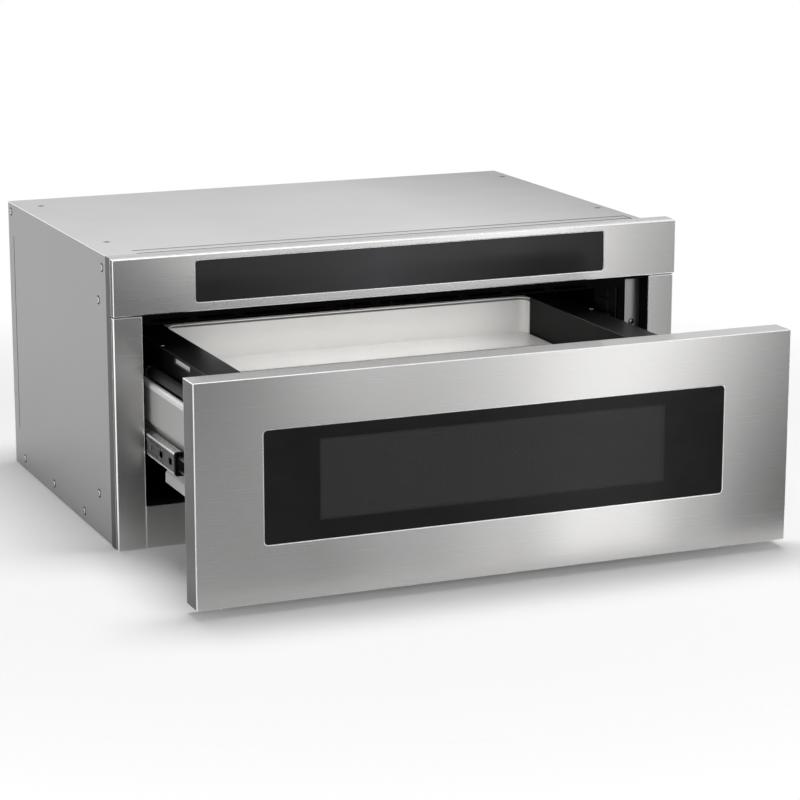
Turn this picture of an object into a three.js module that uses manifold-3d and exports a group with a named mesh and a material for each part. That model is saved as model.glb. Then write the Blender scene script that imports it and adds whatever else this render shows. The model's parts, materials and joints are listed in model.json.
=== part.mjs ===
// Built-in microwave drawer, drawn part-open. Millimetres, +Z up, the front faces -Y.
// Inside this file y = 0 is the face of the front pillars; the finished group is moved so
// that the origin lies in the base plane, half way along the depth of the body.
import * as THREE from "three";
import { mergeVertices } from "three/addons/utils/BufferGeometryUtils.js";
import Module from "manifold-3d";

const wasm = await Module();
wasm.setup();

// ---------------------------------------------------------------- driving sizes
const TRIM_W = 759; // across the front trim and the drawer front
const BODY_H = 362; // base to top cover
const BODY_D = 480; // pillar face to back of the body
const PANEL_H = 70.5; // height of the control panel
const PANEL_PROUD = 3; // control panel face in front of the pillars
const PILLAR_W = 36.5; // width of each front pillar
const SIDE_INSET = 36.5; // right wall of the body in from the right end of the trim
const CASE_INSET = 1.2; // left wall of the body in from the left end of the trim
const STRIP_H = 54; // height of the bottom trim strip
const TRIM_RETURN = 26.2; // depth of the trim behind the pillar face
const SHEET = 1.2; // body sheet
const CREASE = 1; // depth of the stepped front margin of the top cover
const PAD_T = 0.8; // bearing pad on the back of the trim
const GAP = 0.4; // between neighbouring parts
const DRAWER_T = 35.5; // thickness of the drawer front
const DRAWER_TOP_GAP = 18.2; // control panel down to the top of the drawer front
const DRAWER_BOTTOM = 10.4; // base plane up to the bottom of the drawer front
const CLOSED_GAP = 5; // pillar face to the back of the closed drawer front
const REST_OPEN = 258; // how far the drawer stands open as drawn
const REAR_BAY = 82; // depth kept for the electrical parts behind the tub
const TUB_CLEAR = 16; // tub floor above the chamber floor
const TUB_SHEET = 1.5; // enamelled tub
const LEDGE_DEPTH = 86; // raised step across the back of the tub
const LEDGE_DROP = 48; // tub rim down to that step
const RIM_LIP = 4; // how far the flange on the tub's back wall overhangs the tub
const WALL_W = 44; // width of the hollow wall on each side of the tub
const WALL_SLOT = 166; // slot in a side wall, behind the pillar face, drawer closed
const ROD_REACH = 298; // back ends of the buffer rods, drawer closed
const BRACKET_UPPER = 324; // back end of the brackets' upper part, drawer closed
const BRACKET_LOWER = 208; // back end of their lower part, drawer closed
const RAIL_H = 28.5; // height of the middle slide rail
const RAIL_SHEET = 1.4;
const RAIL_FRONT = 20.5; // front ends of the closed slides behind the pillar face
const GEAR_MODULE = 2; // rack and pinion
const PINION_TEETH = 14;

// ---------------------------------------------------------------- derived sizes
const halfW = TRIM_W / 2;
const bodyL = -halfW + CASE_INSET;
const bodyR = halfW - SIDE_INSET;
const bodyX = -SIDE_INSET / 2; // middle plane of the slides and the chamber
const bodyU = { left: bodyX - bodyL, right: bodyR - bodyX }; // body walls from that plane
const panelBottom = BODY_H - PANEL_H;
const openL = -halfW + PILLAR_W;
const openR = halfW - PILLAR_W;
const bodyY = TRIM_RETURN + GAP; // where the body starts behind the frame
const floorZ = STRIP_H + 5; // chamber floor
const ceilingZ = panelBottom - 7.5;
const rimZ = ceilingZ - 37;
const tubFloor = floorZ + TUB_CLEAR;
const tubH = rimZ - tubFloor;
const tubBack = BODY_D - REAR_BAY; // inner face of the tub's back wall, drawer closed
const travel = tubBack - 17;
const railU = Math.min(bodyX - openL, openR - bodyX) - 1.55; // outside of the middle rails
const railZ = tubFloor + 0.337 * tubH;
const bracketTop = rimZ - 0.24 * tubH; // shoulder of the drawer's side brackets
const railLen = tubBack + 2.5 - RAIL_FRONT;
const railEnd = RAIL_FRONT + railLen;
const bracketU = railU - 7.4; // outside of the drawer's side brackets
const wallU = bracketU - 19.8; // outside of the hollow side walls
const tubU = wallU - WALL_W - TUB_SHEET - GAP; // half width of the tub inside
const chamberU = railU + 8.3; // inside of the chamber walls
const mouthU = chamberU + 9; // half width of the way through the front frame
const chamberEnd = tubBack + 6;
const bayY = chamberEnd + GAP + SHEET; // front of the electrical bay
const pinionR = (GEAR_MODULE * PINION_TEETH) / 2;
const addendum = 0.85 * GEAR_MODULE; // tooth outside the pitch line
const dedendum = 1.15 * GEAR_MODULE; // tooth inside the pitch line
const pinionY = TRIM_RETURN + 3.1 + pinionR + addendum;
const pinionZ = floorZ - 7;
const rackPitchZ = pinionZ + pinionR;
const frontY = -CLOSED_GAP - DRAWER_T; // face of the closed drawer front
const backY = -CLOSED_GAP; // its back
const drawerTop = panelBottom - DRAWER_TOP_GAP;
const glassHalf = halfW - 104.5;
const windowL = -halfW + 82.5;
const windowR = halfW - 90;
const windowB = DRAWER_BOTTOM + 68.8;
const windowT = drawerTop - 61.5;
const meshL = windowL + 66;
const meshR = windowR - 78;
const meshB = windowB + 21;
const meshT = windowT - 14;

// ---------------------------------------------------------------- solids
function toSolid(geometry) {
  const bare = new THREE.BufferGeometry();
  bare.setAttribute("position", geometry.getAttribute("position"));
  if (geometry.index) bare.setIndex(geometry.index);
  const merged = mergeVertices(bare, 1e-4);
  const kept = [];
  const index = merged.index.array;
  for (let i = 0; i < index.length; i += 3) {
    const [a, b, c] = [index[i], index[i + 1], index[i + 2]];
    if (a !== b && b !== c && c !== a) kept.push(a, b, c);
  }
  const mesh = new wasm.Mesh({
    numProp: 3,
    vertProperties: new Float32Array(merged.getAttribute("position").array),
    triVerts: new Uint32Array(kept),
  });
  return new wasm.Manifold(mesh);
}

function box(x0, x1, y0, y1, z0, z1) {
  const geometry = new THREE.BoxGeometry(Math.abs(x1 - x0), y1 - y0, z1 - z0);
  geometry.translate((x0 + x1) / 2, (y0 + y1) / 2, (z0 + z1) / 2);
  return toSolid(geometry);
}

const basis = {
  x: [new THREE.Vector3(0, 1, 0), new THREE.Vector3(0, 0, 1), new THREE.Vector3(1, 0, 0)],
  y: [new THREE.Vector3(0, 0, 1), new THREE.Vector3(1, 0, 0), new THREE.Vector3(0, 1, 0)],
  z: [new THREE.Vector3(1, 0, 0), new THREE.Vector3(0, 1, 0), new THREE.Vector3(0, 0, 1)],
};

// Flat outlines pushed along an axis: points are [y, z] along x, [x, z] along y, [x, y] along z.
function prism(axis, from, to, outline, holes = []) {
  const flip = ([a, b]) => (axis === "y" ? new THREE.Vector2(b, a) : new THREE.Vector2(a, b));
  const shape = new THREE.Shape(outline.map(flip));
  const geometry = new THREE.ExtrudeGeometry(shape, {
    depth: to - from,
    bevelEnabled: false,
    steps: 1,
  });
  const [a, b, c] = basis[axis];
  const frame = new THREE.Matrix4().makeBasis(a, b, c);
  frame.setPosition(c.clone().multiplyScalar(from));
  geometry.applyMatrix4(frame);
  return cut(toSolid(geometry), ...holes.map((hole) => prism(axis, from - 1, to + 1, hole)));
}

function prisms(axis, from, to, outlines) {
  return join(...outlines.map((outline) => prism(axis, from, to, outline)));
}

function join(...solids) {
  return solids.reduce((sum, next) => sum.add(next));
}

function cut(solid, ...tools) {
  return tools.reduce((rest, tool) => rest.subtract(tool), solid);
}

function circle(a, b, r, n = 16) {
  return Array.from({ length: n }, (_, i) => {
    const t = (2 * Math.PI * (i + 0.5)) / n;
    return [a + r * Math.cos(t), b + r * Math.sin(t)];
  });
}

function rod(axis, from, to, a, b, r, n = 16) {
  return prism(axis, from, to, circle(a, b, r, n));
}

function rect(a0, a1, b0, b1) {
  return [
    [a0, b0],
    [a1, b0],
    [a1, b1],
    [a0, b1],
  ];
}

function roundRect(a0, a1, b0, b1, r, n = 3) {
  const centres = [
    [a1 - r, b1 - r, 0],
    [a0 + r, b1 - r, 1],
    [a0 + r, b0 + r, 2],
    [a1 - r, b0 + r, 3],
  ];
  const points = [];
  for (const [a, b, quarter] of centres) {
    for (let i = 0; i <= n; i++) {
      const t = ((quarter + i / n) * Math.PI) / 2;
      points.push([a + r * Math.cos(t), b + r * Math.sin(t)]);
    }
  }
  return points;
}

// A row of rounded slots, used for vents and air ways.
function slotRow(count, a0, pitch, width, b0, b1, r = 1.5) {
  return Array.from({ length: count }, (_, i) => {
    const a = a0 + i * pitch;
    return roundRect(a, a + width, b0, b1, r, 1);
  });
}

// Outline of a sheet of thickness t bent along a path, its folds rounded by r.
function folded(path, t, r = 1.5) {
  const line = [path[0]];
  for (let i = 1; i < path.length - 1; i++) {
    const here = new THREE.Vector2(...path[i]);
    const before = new THREE.Vector2(...path[i - 1]).sub(here);
    const after = new THREE.Vector2(...path[i + 1]).sub(here);
    const reach = Math.min(r, before.length() / 2.2, after.length() / 2.2);
    const p = here.clone().add(before.setLength(reach));
    const q = here.clone().add(after.setLength(reach));
    const middle = p.clone().add(q).multiplyScalar(0.25).add(here.clone().multiplyScalar(0.5));
    for (const point of [p, middle, q]) line.push([point.x, point.y]);
  }
  line.push(path[path.length - 1]);
  const left = [];
  const right = [];
  line.forEach(([a, b], i) => {
    const heads = [];
    for (const [j, k] of [[i - 1, i], [i, i + 1]]) {
      if (j < 0 || k >= line.length) continue;
      heads.push(new THREE.Vector2(line[k][0] - line[j][0], line[k][1] - line[j][1]).normalize());
    }
    const first = heads[0];
    const last = heads[heads.length - 1];
    const across = new THREE.Vector2(-first.y - last.y, first.x + last.x).normalize();
    const half = t / 2 / Math.max(0.3, across.x * -first.y + across.y * first.x);
    left.push([a + across.x * half, b + across.y * half]);
    right.unshift([a - across.x * half, b - across.y * half]);
  });
  return [...left, ...right];
}

function lathe(axis, a, b, profile, n = 20) {
  const geometry = new THREE.LatheGeometry(
    profile.map(([r, h]) => new THREE.Vector2(r, h)),
    n,
  );
  if (axis === "z") geometry.rotateX(Math.PI / 2);
  if (axis === "x") geometry.rotateZ(-Math.PI / 2);
  const place = { x: [0, a, b], y: [a, 0, b], z: [a, b, 0] }[axis];
  geometry.translate(...place);
  return toSolid(geometry);
}

// Mirrored pairs are drawn by their distance u from the middle plane of the body.
const X = (side, u) => bodyX + side * u;
const both = [
  ["left", -1],
  ["right", 1],
];

const span = (side, u0, u1) => [X(side, u0), X(side, u1)].sort((p, q) => p - q);

function uBox(side, u0, u1, y0, y1, z0, z1) {
  return box(...span(side, u0, u1), y0, y1, z0, z1);
}

function uPrism(side, y0, y1, outline, holes = []) {
  const place = (points) => points.map(([u, z]) => [X(side, u), z]);
  return prism("y", y0, y1, place(outline), holes.map(place));
}

// ---------------------------------------------------------------- finishes
const finishes = {
  brushed: [0xb8babb, 0.32, 0.9],
  galvanised: [0xa9abad, 0.45, 0.75],
  cover: [0xc6c8ca, 0.4, 0.7],
  black: [0x151515, 0.5, 0.3],
  plastic: [0x1b1b1c, 0.55, 0],
  glass: [0x1c1d1f, 0.08, 0],
  clear: [0xc9d2d4, 0.05, 0],
  enamel: [0xd6d3cc, 0.35, 0],
  bracket: [0xcfccc8, 0.4, 0.2],
  zinc: [0x8e9092, 0.35, 0.9],
  rail: [0x6c6e70, 0.35, 0.9],
  rubber: [0x202022, 0.8, 0],
  board: [0x1f5a37, 0.6, 0],
  mica: [0xb7a584, 0.7, 0],
  copper: [0x9c5a2c, 0.4, 0.8],
  nylon: [0xd9d6c8, 0.5, 0],
  motor: [0x55585b, 0.4, 0.6],
};

const whole = new THREE.Group();
whole.name = "microwave_drawer";
whole.position.y = -BODY_D / 2;

function group(name, y = 0) {
  const made = new THREE.Group();
  made.name = name;
  made.position.y = y;
  whole.add(made);
  return made;
}

const chassis = group("chassis");
const drawer = group("drawer", -REST_OPEN);
const middle = group("middle_slides", -REST_OPEN / 2);

function add(parent, name, solid, finish) {
  const data = solid.getMesh();
  const geometry = new THREE.BufferGeometry();
  geometry.setAttribute("position", new THREE.BufferAttribute(data.vertProperties, 3));
  geometry.setIndex(new THREE.BufferAttribute(data.triVerts, 1));
  geometry.computeVertexNormals();
  const [color, roughness, metalness] = finishes[finish];
  const material = new THREE.MeshStandardMaterial({ color, roughness, metalness });
  const mesh = new THREE.Mesh(geometry, material);
  mesh.name = name;
  parent.add(mesh);
}

// ---------------------------------------------------------------- body panels
function basePan() {
  const [x0, x1] = [bodyL + SHEET + GAP, bodyR - SHEET - GAP];
  const [y0, y1] = [bodyY, BODY_D - SHEET - GAP];
  const outside = box(x0, x1, y0, y1, 0, 22);
  const inside = box(x0 + SHEET, x1 - SHEET, y0 + SHEET, y1 - SHEET, SHEET, 30);
  let pan = cut(outside, inside);
  for (const side of [-1, 1]) {
    const rib = rect(side * 150 - 8, side * 150 + 8, 90, BODY_D - 120);
    pan = join(pan, prism("z", 0.2, 4, rib));
    const below = rect(side * 150 - 6.8, side * 150 + 6.8, 91.2, BODY_D - 121.2);
    pan = cut(pan, prism("z", -1, 2.8, below));
  }
  const vents = slotRow(9, bodyX - 80, 18, 8, BODY_D - 70, BODY_D - 20, 3);
  return cut(pan, prisms("z", -1, 3, vents));
}

function sidePanel(name, side) {
  const [u0, u1] = [bodyU[name] - SHEET, bodyU[name]];
  const plate = uBox(side, u0, u1, bodyY, BODY_D, GAP, BODY_H - SHEET - GAP);
  const lip = uBox(side, u0 - 13, u1, bodyY, bodyY + SHEET, 24, BODY_H - 20);
  const seam = prism("x", ...span(side, u0 - 1, u1 + 1), roundRect(BODY_D - 25, BODY_D - 22, 52,
    BODY_H - 44, 1.4, 2));
  return cut(join(plate, lip), seam);
}

// The front margin of the cover steps down twice, and four screws sit in dimples.
function topCover() {
  const top = box(bodyL, bodyR, bodyY, BODY_D, BODY_H - SHEET, BODY_H);
  const lips = both.map(([name, side]) => uBox(side, bodyU[name] - SHEET - GAP - SHEET,
    bodyU[name] - SHEET - GAP, bodyY + 15, BODY_D - 4, BODY_H - 16, BODY_H - SHEET / 2));
  const [a, b] = [bodyL + 40, bodyR - 11];
  const [first, second] = [bodyY + 8, bodyY + 25]; // where the two steps rise
  const backing = box(a - SHEET, b + SHEET, bodyY, second + SHEET, BODY_H - SHEET - CREASE,
    BODY_H - SHEET / 2);
  const steps = [
    box(a, b, bodyY - 1, second, BODY_H - CREASE / 2, BODY_H + 1),
    box(a, b, bodyY - 1, first, BODY_H - CREASE, BODY_H + 1),
  ];
  const dimples = [bodyY + 96, BODY_D - 57].flatMap((y) => [bodyL + 30, bodyR - 13].map((x) =>
    lathe("z", x, y, [[0, BODY_H - 0.8], [3, BODY_H - 0.8], [6, BODY_H], [6, BODY_H + 1],
      [0, BODY_H + 1]], 12)));
  return cut(join(top, ...lips, backing), ...steps, ...dimples);
}

const blowerX = bodyR - 150;
const blowerZ = 0.55 * BODY_H;
const inletX = bodyR - 52;
const inletZ = 74;

function rearPanel() {
  const [x0, x1] = [bodyL + SHEET + GAP, bodyR - SHEET - GAP];
  const [z0, z1] = [GAP, BODY_H - SHEET - GAP];
  const vents = [];
  for (let row = -2; row <= 2; row++) {
    const z = blowerZ + row * 19;
    const reach = Math.sqrt(52 ** 2 - (z - blowerZ) ** 2);
    vents.push(roundRect(blowerX - reach, blowerX - 3, z - 3, z + 3, 2, 1));
    vents.push(roundRect(blowerX + 3, blowerX + reach, z - 3, z + 3, 2, 1));
  }
  vents.push(...slotRow(11, bodyL + 60, 15, 6, BODY_H - 112, BODY_H - 52, 2.4));
  vents.push(circle(inletX, inletZ, 11, 20));
  let panel = prism("y", BODY_D - SHEET, BODY_D, rect(x0, x1, z0, z1), vents);
  for (const [a, b] of [[x0, x0 + SHEET], [x1 - SHEET, x1]]) {
    panel = join(panel, box(a, b, BODY_D - 14, BODY_D - SHEET / 2, 24, z1 - 18));
  }
  return join(panel, box(x0 + 6, x1 - 6, BODY_D - 14, BODY_D - SHEET / 2, z1 - SHEET, z1));
}

add(chassis, "base_pan", basePan(), "galvanised");
for (const [name, side] of both) {
  add(chassis, `${name}_side_panel`, sidePanel(name, side), "galvanised");
}
add(chassis, "top_cover", topCover(), "cover");
add(chassis, "rear_panel", rearPanel(), "galvanised");

// ---------------------------------------------------------------- front frame and trims
function frontFrame() {
  const shell = box(-halfW, halfW, 8.4, TRIM_RETURN, 0, BODY_H);
  const hollow = box(-halfW + SHEET, halfW - SHEET, 0, TRIM_RETURN - SHEET, SHEET,
    BODY_H - SHEET);
  const way = box(X(-1, mouthU), X(1, mouthU), 0, 40, floorZ - 1, panelBottom - 4.5);
  // the overhang beside the body bears on the cabinet with a raised pad
  const pad = box(bodyR + 3, halfW - 3, TRIM_RETURN - SHEET / 2, TRIM_RETURN + PAD_T, 8, BODY_H - 8);
  const hole = rod("y", TRIM_RETURN - 2 * SHEET, TRIM_RETURN + 1, openR - 12, panelBottom - 65,
    2.5, 10);
  return cut(join(cut(shell, hollow), pad), way, hole);
}

function bezel() {
  const outside = rect(openL - 4, openR + 4, STRIP_H + GAP, panelBottom - GAP);
  const inside = rect(openL - 0.3, openR + 0.3, STRIP_H + 6, panelBottom - 4);
  return prism("y", SHEET + GAP, TRIM_RETURN - SHEET - GAP, outside, [inside]);
}

function airBaffle() {
  const top = panelBottom - 4 - GAP;
  const bottom = panelBottom - 14;
  const [x0, x1] = [openL + 1, X(1, chamberU - 1)];
  const profile = folded([[8.6, bottom], [8.6, top - 0.6], [23, top - 0.6]], SHEET, 1);
  const step = 60; // from one slot to the next
  const count = Math.floor((x1 - x0 - 20) / step);
  const slots = slotRow(count, x0 + 12, step, step - 12, bottom + 2.4, bottom + 6, 1.2);
  return cut(prism("x", x0, x1, profile), prisms("y", 7, 10, slots));
}

function pillar(side) {
  const edge = side * (halfW - SHEET / 2);
  const inner = side * (halfW - PILLAR_W);
  const profile = folded([[edge, 8], [edge, SHEET / 2], [inner, SHEET / 2]], SHEET, 1);
  return prism("z", 0, panelBottom - 1.3, profile);
}

function bottomStrip() {
  const [z0, z1] = [SHEET / 2, STRIP_H - SHEET / 2];
  const profile = folded([[8, z1], [SHEET / 2, z1], [SHEET / 2, z0], [8, z0]], SHEET, 1);
  return prism("x", openL + 0.3, openR - 0.3, profile);
}

const glassZ0 = panelBottom + 11.7;
const glassZ1 = BODY_H - 8.3;

function panelTrim() {
  const half = SHEET / 2;
  const face = half - PANEL_PROUD;
  const profile = folded([
    [8, BODY_H - half],
    [face, BODY_H - half],
    [face, panelBottom + half],
    [20, panelBottom + half],
  ], SHEET, 1);
  const shell = prism("x", -halfW, halfW, profile);
  const ends = [-1, 1].map((side) => {
    const [a, b] = [side * halfW, side * (halfW - SHEET)].sort((p, q) => p - q);
    return box(a, b, half - PANEL_PROUD, 8, panelBottom + half, BODY_H - half);
  });
  const seat = prism("y", -PANEL_PROUD - 1, 1,
    roundRect(-glassHalf - GAP, glassHalf + GAP, glassZ0 - GAP, glassZ1 + GAP, 3.4));
  const clear = [-1, 1].map((side) => {
    const [a, b] = [side * (halfW + 1), side * (halfW - 2 * SHEET)].sort((p, q) => p - q);
    return box(a, b, 8, 22, panelBottom - 1, panelBottom + 3);
  });
  return cut(join(shell, ...ends), seat, ...clear);
}

function controlBoard() {
  const reach = glassHalf - 25;
  const middleZ = (glassZ0 + glassZ1) / 2;
  const high = (glassZ1 - glassZ0) / 2 - 3;
  let board = box(-reach, reach, 10, 11.6, middleZ - high, middleZ + high);
  board = join(board, box(-58, 58, 3, 10.2, middleZ - 14, middleZ + 14));
  for (let i = 0; i < 12; i++) {
    const x = (i < 6 ? -1 : 1) * (90 + (i % 6) * ((reach - 110) / 5));
    board = join(board, rod("y", 2.2, 10.4, x, middleZ, 5, 8));
  }
  for (const x of [-reach + 30, reach - 60]) {
    board = join(board, box(x, x + 30, 11.4, 19, middleZ - 5, middleZ + 5));
  }
  return board;
}

add(chassis, "front_frame", frontFrame(), "galvanised");
add(chassis, "front_bezel", bezel(), "black");
add(chassis, "air_baffle", airBaffle(), "black");
for (const [name, side] of both) {
  add(chassis, `${name}_pillar_trim`, pillar(side), "brushed");
}
add(chassis, "bottom_trim_strip", bottomStrip(), "brushed");
add(chassis, "control_panel_trim", panelTrim(), "brushed");
add(chassis, "control_glass", prism("y", 0.2 - PANEL_PROUD, 1.4,
  roundRect(-glassHalf, glassHalf, glassZ0, glassZ1, 3)), "glass");
add(chassis, "control_board", controlBoard(), "board");

// ---------------------------------------------------------------- fixed chamber
const stirY = (bodyY + chamberEnd) / 2;
const domeZ = ceilingZ + SHEET + GAP;
const guideZ = domeZ + 16.4; // underside of the waveguide
const guideTop = guideZ + 36;
const portY = stirY + 35;
const stirOpen = 92; // half width of the opening in the ceiling below the stirrer
const port = rect(bodyX - 34, bodyX + 34, portY, portY + 40); // from the waveguide down
const lampX = bodyX + 190;
const tubeY = (bayY + BODY_D) / 2; // middle of the electrical bay

function stirSquare(r, corner) {
  return roundRect(bodyX - r, bodyX + r, stirY - r, stirY + r, corner);
}

// The walls turn outwards at the front to close the wider mouth of the front frame.
function chamberWrap() {
  const u = chamberU + SHEET / 2;
  const z = ceilingZ + SHEET / 2;
  const profile = folded([[-u, floorZ + 2], [-u, z], [u, z], [u, floorZ + 2]], SHEET, 3);
  const flanges = both.map(([, side]) => uBox(side, chamberU, mouthU + 4, bodyY, bodyY + SHEET,
    floorZ + 2, ceilingZ - 2));
  const wrap = join(uPrism(1, bodyY, chamberEnd, profile), ...flanges);
  const opening = prism("z", ceilingZ - 5, ceilingZ + 5, stirSquare(stirOpen, 8));
  const lampHole = rod("z", ceilingZ - 5, ceilingZ + 5, lampX, stirY, 14, 16);
  const vents = slotRow(8, stirY + 20, 14, 7, rimZ - 10, rimZ + 20, 3);
  const sideVents = prisms("x", X(-1, chamberU + 5), X(-1, chamberU - 5), vents);
  return cut(wrap, opening, lampHole, sideVents);
}

function chamberFloor() {
  const u = chamberU - 1;
  const z = floorZ;
  const profile = folded([[-u, SHEET + 1], [-u, z], [u, z], [u, SHEET + 1]], SHEET, 3);
  const sheet = uPrism(1, bodyY + SHEET + GAP, chamberEnd, profile);
  const gearWay = prism("z", z - 5, z + 5,
    roundRect(bodyX - 9, bodyX + 9, pinionY - pinionR - 4, pinionY + pinionR + 4, 2));
  const eases = both.map(([, side]) => prism("z", z - 5, z + 5,
    roundRect(...span(side, 110, 230), 120, chamberEnd - 70, 12)));
  return cut(sheet, gearWay, ...eases);
}

function chamberRear() {
  const u = chamberU + 12;
  const [z0, z1] = [floorZ - 26, ceilingZ + 14];
  const holes = [
    roundRect(bodyX - 15, bodyX + 15, floorZ - 5, tubFloor + 4, 3),
    ...slotRow(8, X(1, 90), 15, 6, rimZ - 80, rimZ - 30, 2.4),
  ];
  const plate = prism("y", chamberEnd + GAP, bayY, rect(X(-1, u), X(1, u), z0, z1), holes);
  const lips = both.map(([, side]) => uBox(side, u - SHEET, u, bayY - 0.5, bayY + 11, z0, z1));
  return join(plate, ...lips);
}

function stirrerHousing() {
  const reach = stirOpen + 6;
  const ring = (r, z0, z1) => prism("z", z0, z1, stirSquare(r, 10));
  const outside = join(ring(reach, domeZ, guideZ - GAP), ring(reach + 9, domeZ, domeZ + SHEET));
  const way = prism("z", guideZ - 6, guideZ + 2, port);
  const shaft = rod("z", guideZ - 6, guideZ + 2, bodyX, stirY, 5, 12);
  return cut(outside, ring(reach - SHEET, domeZ - 1, guideZ - GAP - SHEET), way, shaft);
}

function stirrerBlade() {
  let blade = rod("z", domeZ + 1.5, domeZ + 11, bodyX, stirY, 9, 16);
  for (let i = 0; i < 4; i++) {
    const geometry = new THREE.BoxGeometry(72, 27, 1.2);
    geometry.rotateX(0.2);
    geometry.translate(44, 0, 0);
    geometry.rotateZ((i * Math.PI) / 2);
    geometry.translate(bodyX, stirY, domeZ + 6.5);
    blade = join(blade, toSolid(geometry));
  }
  return join(blade, rod("z", domeZ + 10, guideTop + 6, bodyX, stirY, 2.5, 10));
}

function stirrerMotor() {
  const z = guideTop + GAP;
  const body = rod("z", z, z + 13, bodyX, stirY, 24, 24);
  const neck = rod("z", z + 12, z + 17, bodyX + 9, stirY, 8, 12);
  const ears = box(bodyX - 34, bodyX + 34, stirY - 6, stirY + 6, z, z + 1.5);
  const plug = box(bodyX - 12, bodyX + 4, stirY + 20, stirY + 33, z + 2, z + 9);
  return cut(join(body, neck, ears, plug), rod("z", z - 1, z + 8, bodyX, stirY, 3, 12));
}

function waveguide() {
  const [y0, y1] = [stirY - 45, BODY_D - 9];
  const tube = cut(
    box(bodyX - 46, bodyX + 46, y0, y1, guideZ, guideTop),
    box(bodyX - 44.8, bodyX + 44.8, y0 + SHEET, y1 - SHEET, guideZ + SHEET, guideTop - SHEET),
  );
  const flange = box(bodyX - 54, bodyX + 54, tubeY - 30, y1, guideZ, guideZ + SHEET);
  const way = prism("z", guideZ - 1, guideZ + 5, port);
  const shaft = rod("z", guideZ - 5, guideTop + 5, bodyX, stirY, 4, 12);
  const antenna = rod("z", guideZ - 5, guideZ + 5, bodyX, tubeY, 14, 20);
  return cut(join(tube, flange), way, shaft, antenna);
}

add(chassis, "chamber_wrap", chamberWrap(), "black");
add(chassis, "chamber_floor", chamberFloor(), "black");
add(chassis, "chamber_rear_wall", chamberRear(), "black");
add(chassis, "stirrer_housing", stirrerHousing(), "galvanised");
add(chassis, "stirrer_cover", prism("z", ceilingZ - 1.8, ceilingZ - GAP,
  stirSquare(stirOpen + 4, 10)), "mica");
add(chassis, "stirrer_blade", stirrerBlade(), "galvanised");
add(chassis, "stirrer_motor", stirrerMotor(), "zinc");
add(chassis, "waveguide", waveguide(), "galvanised");

// ---------------------------------------------------------------- electrical parts
function magnetron() {
  const top = guideZ - GAP;
  const half = 29; // half the depth of its yoke
  const [y0, y1] = [tubeY - half, tubeY + half];
  const [x0, x1] = [bodyX - 46, bodyX + 46];
  const yokeZ = top - 72;
  let tube = join(
    box(x0, x1, y0, y1, top - 4, top),
    box(x0, x1, y0, y1, yokeZ, yokeZ + 4),
    box(x0, x0 + 3, y0, y1, yokeZ, top),
    box(x1 - 3, x1, y0, y1, yokeZ, top),
    rod("z", yokeZ, top, bodyX, tubeY, 18, 12),
  );
  for (let i = 0; i < 5; i++) {
    const z = yokeZ + 14 + i * 10.5;
    tube = join(tube, box(x0 + 1, x1 - 1, y0 + 4, y1 - 4, z, z + 1));
  }
  tube = join(tube, lathe("z", bodyX, tubeY, [
    [0, -(top - 1)],
    [11, -(top - 1)],
    [11, -(top + 6)],
    [7.5, -(top + 8)],
    [7.5, -(top + 20)],
    [5, -(top + 24)],
    [0, -(top + 24)],
  ].map(([r, h]) => [r, -h]), 14));
  const filter = box(bodyX - 30, bodyX + 30, y0 + 3, y1 - 3, yokeZ - 34, yokeZ + 1);
  const plug = box(bodyX + 29, bodyX + 44, tubeY - 10, tubeY + 10, yokeZ - 26, yokeZ - 10);
  return join(tube, filter, plug);
}

function transformer() {
  const [x, y, z] = [bodyL + 92, tubeY, SHEET + GAP];
  const foot = box(x - 50, x + 50, y - 27, y + 27, z, z + 2);
  const core = box(x - 40, x + 40, y - 18, y + 18, z + 1, z + 72);
  const slots = [-1, 1].map((s) => box(x + s * 20 - 7, x + s * 20 + 7, y - 30, y + 30, z + 14,
    z + 58));
  const coils = [[z + 16, z + 34], [z + 38, z + 56]].map(([a, b]) => prism("z", a, b,
    roundRect(x - 25, x + 25, y - 27, y + 27, 8)));
  return join(cut(core, ...slots), foot, ...coils);
}

function capacitor() {
  const [x, y, z] = [bodyL + 205, tubeY, SHEET + GAP];
  const can = prism("x", x - 42, x + 42, roundRect(y - 17, y + 17, z + 3, z + 55, 16, 5));
  const strap = join(
    box(x - 9, x + 9, y - 18, y + 18, z, z + 56.5),
    box(x - 9, x + 9, y - 27, y + 27, z, z + 2),
  );
  const tabs = [y - 7, y + 7].map((at) => box(x + 41, x + 52, at - 3, at + 3, z + 26, z + 27.5));
  return join(can, strap, ...tabs);
}

const fanY = tubeY + 12;

function blowerHousing() {
  const [y0, y1] = [bayY + 14, BODY_D - SHEET - 3];
  const shell = prism("y", y0, y1,
    roundRect(blowerX - 60, blowerX + 60, blowerZ - 60, blowerZ + 60, 8));
  const bore = rod("y", y0 - 1, y1 + 1, blowerX, blowerZ, 54, 32);
  const pockets = [];
  for (const a of [-1, 1]) {
    for (const b of [-1, 1]) {
      pockets.push(rod("y", y0 - 1, y1 + 1, blowerX + a * 51, blowerZ + b * 51, 5, 10));
    }
  }
  return cut(shell, bore, ...pockets);
}

function blowerMotor() {
  const y0 = bayY + 16;
  let body = rod("y", y0, y0 + 18, blowerX, blowerZ, 23, 24);
  for (let i = 0; i < 3; i++) {
    const geometry = new THREE.BoxGeometry(33, 4, 5);
    geometry.translate(37, 0, 0);
    geometry.rotateY((i * 2 * Math.PI) / 3 + 0.5);
    geometry.translate(blowerX, y0 + 6, blowerZ);
    body = join(body, toSolid(geometry));
  }
  return join(body, rod("y", y0 + 17, fanY + 7, blowerX, blowerZ, 2.5, 10));
}

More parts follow.
